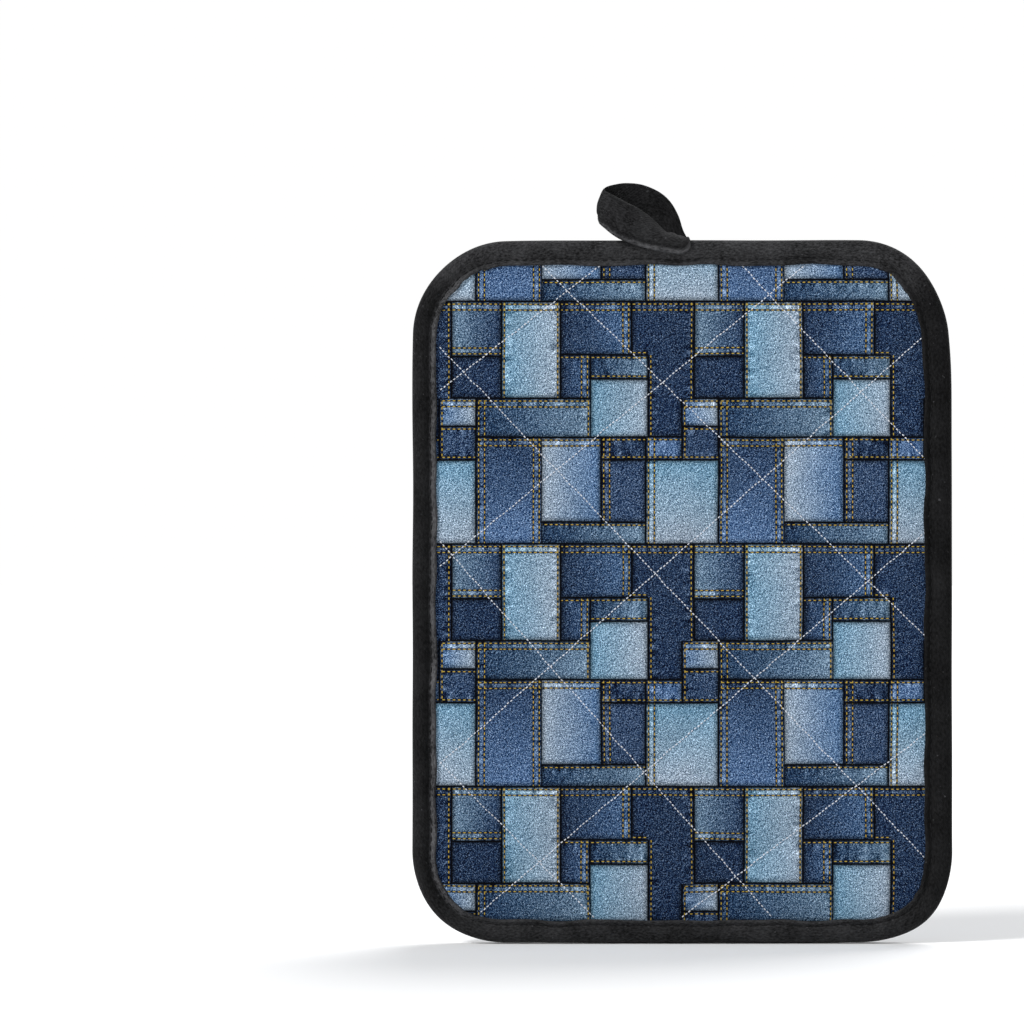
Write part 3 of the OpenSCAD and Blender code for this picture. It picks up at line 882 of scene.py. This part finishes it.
def binding_painted_light():
    """How light the tape is painted at each point, as painted light and shade: on the printed side lighter
    on top, at the bottom and on the ridge along the left, darker on the left's outer part and darkest on
    the right; on the back, a painted highlight on its roll and its lip."""
    inset, depth = tape_section().T[:, None, :]
    right, up = EDGE_OUT[:, :1], EDGE_OUT[:, 1:]
    left_side, right_side = smooth(-right, 0.3, 0.95), smooth(right, 0.2, 0.9)
    top, bottom = smooth(up, 0.3, 0.95), smooth(-up, 0.3, 0.95)
    ridge = smooth(inset, 6.0, 7.2)
    front_painted_light = (0.75 + left_side * (2.6 * ridge - 0.25) - 0.4 * right_side
                  + 0.8 * top + bottom * (0.25 + 0.5 * ridge))
    back_painted_light = 0.7 + 1.1 * smooth(inset, 5.8, 4.2) + 2.6 * smooth(inset, 8.3, 8.8)
    return np.where(depth < 0, front_painted_light, back_painted_light)


def arc_length(steps):
    """Length from the start of a line, at each of its points, from the steps between them."""
    return np.concatenate([[0], np.cumsum(np.linalg.norm(steps, axis=-1))])


def section_lengths(rings):
    """Length round a tube's section, on average over its rings."""
    steps = np.linalg.norm(np.diff(rings, axis=1), axis=-1).mean(0)
    return np.concatenate([[0], np.cumsum(steps)])


def cloth_grid(first, second):
    """Cloth coordinates of a grid of points: the first changes along it, the second across."""
    return np.stack(np.broadcast_arrays(first[:, None], second[None, :]), -1).reshape(-1, 2)


rings = binding_rings()
stations, sides = rings.shape[:2]
edge_tape = make_piece("edge_tape", rings.reshape(-1, 3), grid_quads(stations, sides, True, True),
                       TAPE, cloth_grid(EDGE_ALONG, section_lengths(rings)), painted_light=binding_painted_light().ravel())
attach(edge_tape, "pad")
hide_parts("edge_binding")
EDGE_LENGTH / MM


# ---------- stitches ----------

STITCH_RINGS, STITCH_SIDES = 7, 6


def stitch_mesh(paths, length, gap, radius, lift, uneven=0.0, jitter=0.0, seed=1):
    """Every stitch along some paths as one set of points, faces and cloth coordinates. A path is its
    points and the directions out of the cloth there. Each stitch rises out of the cloth and dives
    back into it; uneven makes some of them thinner, jitter moves them aside."""
    draw = np.random.default_rng(seed)
    points, faces, uvs = [], [], []
    t = np.linspace(0, 1, STITCH_RINGS)
    round_end = np.sqrt(np.clip(1 - np.abs(2 * t - 1) ** 3.2, 0.05, 1))
    angle = np.arange(STITCH_SIDES) * 2 * math.pi / STITCH_SIDES
    one = tube_faces(STITCH_RINGS, STITCH_SIDES)
    first = 0
    for path, out in paths:
        arc = arc_length(np.diff(path, axis=0))
        count = int((arc[-1] - abs(gap)) // (length + gap))
        if count < 1:
            continue
        margin = (arc[-1] - count * (length + gap) + gap) / 2
        start = margin + np.arange(count) * (length + gap)
        places = start[:, None] + t[None, :] * length
        centre = np.stack([np.interp(places, arc, path[:, c]) for c in range(3)], -1)
        normal = unit(np.stack([np.interp(places, arc, out[:, c]) for c in range(3)], -1))
        ahead = unit(np.gradient(centre, axis=1))
        side = unit(np.cross(ahead, normal))
        shove = draw.normal(0, 1, (count, 1, 1)) * jitter
        arch = (lift + radius * 0.9) * np.sin(math.pi * t) ** 0.6 - radius * 0.9
        centre = centre + side * shove + normal * arch[None, :, None]
        share = 1 - uneven * draw.random((count, 1, 1))
        r = share * (radius * round_end)[None, :, None]
        ring = (centre[:, :, None, :]
                + normal[:, :, None, :] * (r * np.sin(angle))[:, :, :, None]
                + side[:, :, None, :] * (r * np.cos(angle))[:, :, :, None])
        points.append(ring.reshape(-1, 3))
        around = np.broadcast_to(angle * radius, ring.shape[:3])
        run = np.broadcast_to(places[:, :, None], ring.shape[:3])
        uvs.append(np.stack([run, around], -1).reshape(-1, 2))
        for _ in range(count):
            faces.extend([[corner + first for corner in face] for face in one])
            first += STITCH_RINGS * STITCH_SIDES
    return np.concatenate(points), faces, np.concatenate(uvs)


def seam_paths(seams, surface, out_sign, keep, wobble, seed):
    """The parts of every quilting seam where keep(x, z) holds, laid on a surface."""
    draw = np.random.default_rng(seed)
    paths = []
    for origin, along, normal in seams.lines():
        t = np.arange(-200, 200, 0.5)
        bend = ripple(t + 200 + draw.random() * 400, 400, (33, 12), int(draw.integers(1, 999))) * wobble
        flat = origin + along * t[:, None] + normal * bend[:, None]
        inside = keep(flat[:, 0], flat[:, 1])
        breaks = np.nonzero(np.diff(inside.astype(int)))[0] + 1
        for run in np.split(np.arange(len(t)), breaks):
            if not inside[run[0]] or len(run) < 8:
                continue
            x, z = flat[run, 0], flat[run, 1] + MIDDLE_Z
            y = surface.depth(x, z)
            good = ~np.isnan(y)
            if good.sum() < 8:
                continue
            y = np.interp(t[run], t[run][good], y[good])
            y = np.convolve(np.pad(y, 2, mode="edge"), np.ones(5) / 5, mode="valid")
            out = np.zeros((len(run), 3))
            out[:, 1] = out_sign
            paths.append((np.stack([x, y, z], -1), out))
    return paths


def stitched_piece(name, paths, node, slot, material, body, **how):
    """A row of stitches along the paths, attached to body unless body is None."""
    points, faces, uv = stitch_mesh(paths, **how)
    piece = make_piece(name, points, faces, material, uv)
    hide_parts(node)
    if body:
        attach(piece, body)
    return piece


def inside_pad(margin):
    """Tells which places lie inside the binding and that much further in."""
    return lambda x, z: depth_inside(x, z, LEG + margin) > 0


front_skin, back_skin = Skin(front_quilt, 1), Skin(back_quilt, -1)
stitched_piece("front_quilting", seam_paths(FRONT_SEAMS, front_skin, -1, inside_pad(-0.6), 0.2, 21),
               "front_quilting_thread", "white_thread", WHITE_THREAD, "pad",
               length=1.0, gap=0.36, radius=0.22, lift=0.15, uneven=0.3, jitter=0.06, seed=22)
stitched_piece("back_quilting", seam_paths(BACK_SEAMS, back_skin, 1, inside_pad(1.0), 0.35, 23),
               "back_quilting_thread", "grey_thread", GREY_THREAD, "pad",
               length=3.7, gap=-0.8, radius=0.34, lift=0.16, jitter=0.03, seed=24)


def binding_seam_path(out_sign):
    """The seam round the binding, on its printed side or its hand side."""
    inset, depth = tape_section().T
    outer = depth * out_sign > 2.2
    column = int(np.argmin(np.where(outer, np.abs(inset - SEAM_IN), 99)))
    path = np.concatenate([rings[:, column], rings[:1, column]])
    out = np.zeros_like(path)
    out[:, 1] = out_sign
    return [(path, out)]


stitched_piece("binding_seam_front", binding_seam_path(-1), "binding_stitches_front", "black_thread",
               BLACK_THREAD, "pad", length=2.3, gap=0.7, radius=0.19, lift=0.05, jitter=0.08, seed=31)
stitched_piece("binding_seam_back", binding_seam_path(1), "binding_stitches_back", "black_thread",
               BLACK_THREAD, "pad", length=2.3, gap=0.7, radius=0.26, lift=0.12, jitter=0.05, seed=32)


# ---------- the hand pocket ----------

def pocket_weight(x):
    """How far a place across the pocket follows the gape: not at its side seams, fully between."""
    return (1 - np.clip(np.abs(x) / POCKET_HALF_W, 0, 1) ** 2) ** 2


def pocket_edge(x, z):
    """0 where the panel is sewn under the edge tape, 1 in from there."""
    return smooth(depth_inside(x, z - MIDDLE_Z, LEG), -0.5, 5.0)


def pocket_y(x, z, out):
    """Depth of the pocket panel, out millimetres off its inner surface."""
    rise = np.clip((z - POCKET_BOTTOM_Z) / -POCKET_BOTTOM_Z, 0, 1.05)
    bow = MOUTH_CLEAR + MOUTH_BOW * pocket_weight(x)
    sewn = BACK_SEAM_Y + 0.35 + out * 0.12
    free = BACK_SEAM_Y + 1.4 + rise * bow + out
    return sewn + (free - sewn) * pocket_edge(x, z) + sway(x, z - MIDDLE_Z)


def gape(piece):
    """Bakes the piece's transform into its mesh; the weight of the pocket's gape at its points is worked out
    but not used.
    """
    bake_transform(piece)
    pocket_weight(points_of(piece)[:, 0])


POCKET_SHEET_TOP = MOUTH_HIGH[2] - 1.2 - MIDDLE_Z
pocket_sheet = Sheet(LEG - 1.5, POCKET_SEAMS, CELL, 0.006, 1.7, top=POCKET_SHEET_TOP)


def pocket_points(sheet, out, puffed):
    """The sheet's points as they lie on the pocket; puffed is 1 for its padded face, 0 for a flat one."""
    x, z = sheet.x + sheet.across * puffed, sheet.z + sheet.up * puffed + MIDDLE_Z
    y = pocket_y(x, z, out) + sheet.puff * puffed * pocket_edge(x, z)
    return np.stack([x, y, z], -1)


pocket_panel = padded_piece(
    "pocket_panel", pocket_sheet, pocket_points(pocket_sheet, POCKET_T - 0.9, 1.0),
    pocket_points(pocket_sheet, 0.45, 0.0),
    np.stack([-pocket_sheet.x - POCKET_PRINT_LEFT, POCKET_PRINT_TOP - pocket_sheet.z], -1), PRINT, flip=True)
gape(pocket_panel)
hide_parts("pocket_face", "pocket_batting")

POCKET_INSET = LEG - 1.0
inner_sheet = Sheet(POCKET_INSET, POCKET_SEAMS, 4.0, 0.0, 0.1, top=POCKET_SHEET_TOP)
pocket_inside = padded_piece(
    "pocket_inside", inner_sheet, pocket_points(inner_sheet, 0.4, 0.0), pocket_points(inner_sheet, 0.0, 0.0),
    np.stack([inner_sheet.x, inner_sheet.z], -1), LINING, flip=True)
gape(pocket_inside)
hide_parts("pocket_lining")
(POCKET_SHEET_TOP + HALF_H - POCKET_INSET) / MM


MOUTH_SEAM_UP = 1.6       # the mouth tape's seam, from its lower edge


def mouth_rings():
    """The tape folded over the pocket's mouth, station by station across the pocket."""
    top, low = MOUTH_HIGH[2], MOUTH_LOW[2]
    t = POCKET_T
    section = closed_curve([
        (t + 0.35, low), (t + 0.85, low + 0.5), (t + 0.95, low + 1.5), (t + 1.15, low + 4.5),
        (t + 1.0, top - 1.6), (t + 0.1, top - 0.1), (1.3, top + 0.25), (-0.1, top - 0.2), (-0.9, top - 1.8),
        (-0.8, low + 4.5), (-0.75, low + 1.0), (-0.5, low), (0.0, low + 0.4), (0.1, top - 1.8),
        (t - 0.3, top - 1.8), (t - 0.1, low + 0.4)], 3)
    span = POCKET_HALF_W + 1.6
    x = np.linspace(-span, span, 260)[:, None]
    out, z = section.T[:, None, :]
    along, length = x + span, 2 * span
    lifted = ripple(along, length, (60, 28), 41) * 0.35 * smooth(z, low + 3, top)
    z = z + lifted + ripple(along, length, (45, 19), 42) * 0.2
    outside = smooth(out, t - 0.2, t + 0.6)
    out = out + outside * ripple(along + 0.6 * z, length, (22, 9), 43) * 0.14
    off_seam = z - low - MOUTH_SEAM_UP
    dents = DENT * np.cos(2 * math.pi * x / STITCH_STEP) * np.exp(-(off_seam / 0.9) ** 2)
    out = out + outside * (dents - 0.22 * np.exp(-(off_seam / 0.6) ** 2))
    y = pocket_y(x + 0 * z, z, 0) + out * (0.18 + 0.82 * pocket_edge(x, z + 0 * x))
    return np.stack([x + 0 * z, y, z], -1)


mouth = mouth_rings()
mouth_stations, mouth_sides = mouth.shape[:2]
# Painted shade along the tape's top rim, darkest at the very top, and painted light below it.
mouth_painted_light = 0.5 + 1.15 * smooth(MOUTH_HIGH[2] - mouth[:, :, 2], 0.3, 1.4)
mouth_tape = make_piece("mouth_tape", mouth.reshape(-1, 3), tube_faces(mouth_stations, mouth_sides), TAPE,
                        cloth_grid(mouth[:, 0, 0], section_lengths(mouth)), painted_light=mouth_painted_light.ravel())
gape(mouth_tape)
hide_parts("pocket_mouth_binding")

mouth_skin = Skin(mouth_tape, -1)
seam_x = np.arange(-POCKET_HALF_W + 1, POCKET_HALF_W - 1, 0.5)
seam_z = MOUTH_LOW[2] + MOUTH_SEAM_UP + ripple(seam_x + 90, 180, (45, 19), 42) * 0.2
seam_path = np.stack([seam_x, mouth_skin.depth(seam_x, seam_z), seam_z], -1)
mouth_seam = stitched_piece("mouth_seam", [(seam_path, np.tile([0.0, 1.0, 0.0], (len(seam_x), 1)))],
                            "pocket_mouth_stitches", "black_thread", BLACK_THREAD, None,
                            length=2.3, gap=0.7, radius=0.26, lift=0.12, jitter=0.04, seed=44)
gape(mouth_seam)


def on_pocket(x, z):
    return inside_pad(0.6)(x, z) & (z + MIDDLE_Z < MOUTH_LOW[2] - 0.5)


pocket_quilting = stitched_piece(
    "pocket_quilting", seam_paths(POCKET_SEAMS, Skin(pocket_panel, -1), 1, on_pocket, 0.25, 45),
    "pocket_quilting_thread", "white_thread", WHITE_THREAD, None,
    length=1.0, gap=0.36, radius=0.22, lift=0.15, uneven=0.3, jitter=0.06, seed=46)
gape(pocket_quilting)


# ---------- the hanging loop ----------

# The tape, station by station: one edge, its middle, the other edge, from the loop's place on the
# top edge. It rises from the back, folds forward over the edge, runs left, turns and comes back.
NEAR_Y, FAR_Y = 3.9, 4.8
TAPE_HALF = (TAIL_HIGH[0] - TAIL_LOW[0]) / 2
LOOP_STATIONS = [
    [[TAPE_HALF, NEAR_Y, -9.4], [0, NEAR_Y, -9.4], [-TAPE_HALF, NEAR_Y, -9.4]],
    [[TAPE_HALF, NEAR_Y, -4], [0, NEAR_Y + 0.1, -4], [-TAPE_HALF, NEAR_Y, -4]],
    [[TAPE_HALF, 3.6, -1.2], [0, NEAR_Y, -0.6], [-TAPE_HALF, NEAR_Y, 0]],
    [[6.1, 1.9, 0], [0.6, 3.3, 0.7], [-5.2, 4, 1.5]],
    [[6.2, -1.4, 0.1], [1.6, 1.6, 0.9], [-4, 4, 2]],
    [[6.4, -3.9, -1.2], [2.4, -0.9, 0.9], [-2.8, 3.9, 2.1]],
    [[6.2, -4.7, -3.6], [2.6, -2.9, 0.5], [-1.8, 3.5, 2]],
    [[3.8, -4.9, -5.2], [1.6, -3.7, 0.4], [-1.2, 3.2, 2]],
    [[-0.4, -4.9, -4.9], [-0.8, -3.8, 0.7], [-1.4, 3.4, 2.2]],
    [[-4.8, -4.9, -4.1], [-3.6, -3.7, 1.4], [-2.6, 3.4, 3.4]],
    [[-9.3, -5.1, -3.1], [-7.6, -4.2, 2.6], [-5.8, 1.9, 6.6]],
    [[-13.5, -5.5, -1.7], [-11.2, -4.8, 4.2], [-8.7, -0.4, 8.9]],
    [[-17.2, -5.8, -0.3], [-14.8, -5.2, 5.5], [-11.8, -2, 10.6]],
    [[-20.2, -5.2, 1.7], [-18, -4.8, 7.6], [-15.2, -2.6, 12.4]],
    [[-22.4, -3.6, 3.8], [-21.2, -3.4, 9.4], [-18.9, -2.2, 14.4]],
    [[-23.3, -1, 5.4], [-24, -0.8, 11], [-22, -0.6, 16.2]],
    [[-23.5, 1.8, 6.8], [-23.8, 1.6, 12], [-21.7, 1.6, 17.3]],
    [[-22.2, 3.8, 7.4], [-21.8, 3.6, 13], [-19.4, 3.4, 18.4]],
    [[-18, 5.2, 7], [-17, 5.1, 13], [-15, 4.8, 19.1]],
    [[-12.2, 5.8, 6], [-11.2, 5.9, 12.4], [-9.5, 5.3, 18.6]],
    [[-8.4, 5.9, 4.4], [-6.5, 6.2, 10.4], [-4.2, 5.5, 16.5]],
    [[-7.2, 5.5, 2.8], [-3.5, 6, 7.8], [-0.2, 5.5, 13.2]],
    [[-6.7, 5.2, 1.6], [-1.6, 5.6, 4.8], [2.6, 5.3, 8.5]],
    [[-6.4, 5, 0.6], [-0.6, 5.3, 2.2], [4.3, 5.1, 3.4]],
    [[-TAPE_HALF, FAR_Y, -1.2], [0, FAR_Y + 0.1, -1], [TAPE_HALF, FAR_Y, -0.8]],
    [[-TAPE_HALF, FAR_Y, -4], [0, FAR_Y + 0.2, -4], [TAPE_HALF, FAR_Y, -4]],
    [[-TAPE_HALF, FAR_Y, -9.6], [0, FAR_Y, -9.6], [TAPE_HALF, FAR_Y, -9.6]],
]
TAPE_T = 0.85             # thickness of the folded tape
ROOT_LENGTH = 10.0        # length of each sewn end
BEND_LENGTH = 5.0         # length past the ends over which flop ramps its weight, which is not used
SEAM_ASIDE = 2.1          # the loop's seam, from its tape's edge


def loop_surface():
    """The middle surface of the tape as a grid: along it, then across it."""
    stations = np.array(LOOP_STATIONS, float)
    along = open_curve(stations, 8)
    across = np.linspace(-1, 1, 27)[None, :, None]
    a, m, b = along[:, 0:1], along[:, 1:2], along[:, 2:3]
    surface = m + (b - a) / 2 * across + ((a + b) / 2 - m) * across**2
    return surface + np.array([LOOP_X, MIDDLE_Y, TOP_Z])


loop_mid = loop_surface()
loop_rows, loop_columns = loop_mid.shape[:2]
heading = unit(np.gradient(loop_mid, axis=0))
crosswise = unit(np.gradient(loop_mid, axis=1))
loop_out = -unit(np.cross(heading, crosswise))
loop_arc = arc_length(np.diff(loop_mid[:, loop_columns // 2], axis=0))
loop_length = loop_arc[-1]
root_past = np.minimum(loop_arc, loop_length - loop_arc) - ROOT_LENGTH
across_mm = np.linspace(-1, 1, loop_columns) * TAPE_HALF
loop_wrinkle = (ripple(loop_arc[:, None] + 0.7 * across_mm, loop_length, (17, 9), 51) * 0.28
                + ripple(loop_arc[:, None] - 1.1 * across_mm, loop_length, (11, 6), 52) * 0.12)
loop_wrinkle = loop_wrinkle * smooth(root_past, 0, 4)[:, None]
from_edge = across_mm + TAPE_HALF
lip = np.exp(-((from_edge - 0.7) / 0.6) ** 2)
groove = np.exp(-((from_edge - SEAM_ASIDE) / 0.6) ** 2)
loop_mid = loop_mid + loop_out * loop_wrinkle[:, :, None]
half_t = TAPE_T / 2 * np.sqrt(np.clip(1 - np.abs(across_mm / TAPE_HALF) ** 14, 0.06, 1))
outer_face = loop_mid + loop_out * (half_t + 0.4 * lip - 0.25 * groove)[None, :, None]
inner_face = loop_mid - loop_out * half_t[None, :, None]
loop_rings = np.concatenate([outer_face, inner_face[:, ::-1]], axis=1)
loop_sides = loop_rings.shape[1]
loop_around = np.concatenate([across_mm, 2 * TAPE_HALF - across_mm[::-1]])


def flop(piece, free_length):
    """Bakes the piece's transform into its mesh. free_length holds each point's length past the tape's root;
    the weight worked out from it is not used.
    """
    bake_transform(piece)
    smooth(free_length, 0.0, BEND_LENGTH)


# Painted light and shade on the loop: a painted highlight along the lip of its outer face, painted shade in
# its seam groove, and its inner face painted darker.
lip_painted_light = (2.1 * lip - 0.4 * groove)[None, :] * smooth(loop_arc, 13, 21)[:, None]
loop_painted_light = np.concatenate([0.9 + lip_painted_light, np.full_like(lip_painted_light, 0.6)], axis=1)
hanging_tape = make_piece("hanging_tape", loop_rings.reshape(-1, 3), tube_faces(loop_rows, loop_sides), TAPE,
                          cloth_grid(loop_arc, loop_around), painted_light=loop_painted_light.ravel())
flop(hanging_tape, np.repeat(root_past, loop_sides))
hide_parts("hanging_loop", "loop_tail")

seam_column = int(np.argmin(np.abs(from_edge - SEAM_ASIDE)))
free_rows = np.nonzero(root_past > 0.5)[0]
loop_points, loop_stitch_faces, loop_stitch_uv = stitch_mesh(
    [(outer_face[free_rows, seam_column], loop_out[free_rows, seam_column])],
    length=2.2, gap=0.6, radius=0.2, lift=0.08, jitter=0.03, seed=53)
loop_seam = make_piece("loop_seam", loop_points, loop_stitch_faces, BLACK_THREAD, loop_stitch_uv)
flop(loop_seam, np.interp(loop_stitch_uv[:, 0] + 0.5, [0, 10], [0.5, 10.5]))
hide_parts("loop_edge_stitches")


def bar_tack():
    """A dense zigzag of thread that sews the loop's ends down."""
    low, high = box_mm("loop_bar_tack")
    count = 26
    x = np.linspace(low[0], high[0], count)
    z = np.where(np.arange(count) % 2, low[2], high[2])
    corners = np.stack([x, np.full(count, high[1] - 0.15), z], -1)
    path = np.concatenate([np.linspace(a, b, 8, endpoint=False) for a, b in zip(corners, corners[1:])])
    return [(path, np.tile([0.0, 1.0, 0.0], (len(path), 1)))]


stitched_piece("bar_tack", bar_tack(), "loop_bar_tack", "black_thread", BLACK_THREAD, "pad",
               length=1.9, gap=0.12, radius=0.2, lift=0.1, seed=61)


# ---------- studio ----------

def stage_material(name, color, glow=0.0):
    """A plain, faintly uneven material for the floor and what stands behind it."""
    material, tree, shader = new_material(name, 0.9)
    place = add_node(tree, "SeparateXYZ", {0: add_node(tree, "TexCoord").outputs["Object"]})
    grain = noise_at(tree, place.outputs[0], place.outputs[1], 4.0)
    feed(tree, scaled_color(tree, color, grain * 0.02 + 0.99), shader.inputs["Base Color"])
    if glow:
        shader.inputs["Emission Color"].default_value = (1, 1, 1, 1)
        shader.inputs["Emission Strength"].default_value = glow
    return material


FLOOR_R = 8.0
floor_z = (rings[:, :, 2].min() - 0.1) / MM
bpy.ops.mesh.primitive_circle_add(vertices=96, radius=FLOOR_R, fill_type="NGON", location=(0, 0, floor_z))
floor = bpy.context.object
floor.name = "floor"
floor.data.materials.append(stage_material("pale_floor", (0.94, 0.94, 0.94)))
bpy.ops.mesh.primitive_uv_sphere_add(segments=48, ring_count=24, radius=FLOOR_R * 0.98)
backdrop = bpy.context.object
backdrop.name = "backdrop"
backdrop.data.materials.append(stage_material("white_backdrop", (0.0, 0.0, 0.0), 1.0))
for reach in ("diffuse", "glossy", "transmission", "volume_scatter", "shadow"):
    setattr(backdrop, "visible_" + reach, False)

world = bpy.data.worlds.new("studio")
bpy.context.scene.world = world
world.use_nodes = True
world.node_tree.nodes["Background"].inputs[0].default_value = (0.95, 0.97, 1.0, 1)
world.node_tree.nodes["Background"].inputs[1].default_value = 0.34


def soft_sun(name, toward, strength, angle):
    """A broad, soft light from a far place; toward points from the mitt to it."""
    light = bpy.data.lights.new(name, "SUN")
    light.energy = strength * math.pi
    light.angle = math.radians(angle)
    holder = bpy.data.objects.new(name, light)
    bpy.context.scene.collection.objects.link(holder)
    holder.rotation_euler = Vector(toward).to_track_quat("Z", "Y").to_euler()


soft_sun("key_light", (-0.64, -0.46, 0.62), 0.80, 16)
soft_sun("back_light", (0.30, 0.55, 0.78), 0.62, 40)

CAMERA_DISTANCE = 1.6
CAMERA_RIGHT = -0.0568        # the mitt stands right of the middle of the picture
CAMERA_UP = 0.0265            # and a little below it
camera = bpy.data.cameras.new("camera")
camera.sensor_width = 36.0
camera.lens = 168.9
camera_holder = bpy.data.objects.new("camera", camera)
bpy.context.scene.collection.objects.link(camera_holder)
camera_holder.location = (CAMERA_RIGHT, BINDING_LOW[1] / MM - CAMERA_DISTANCE, MIDDLE_Z / MM + CAMERA_UP)
camera_holder.rotation_euler = (math.pi / 2, 0, 0)
bpy.context.scene.camera = camera_holder
bpy.context.scene.view_settings.view_transform = "Standard"
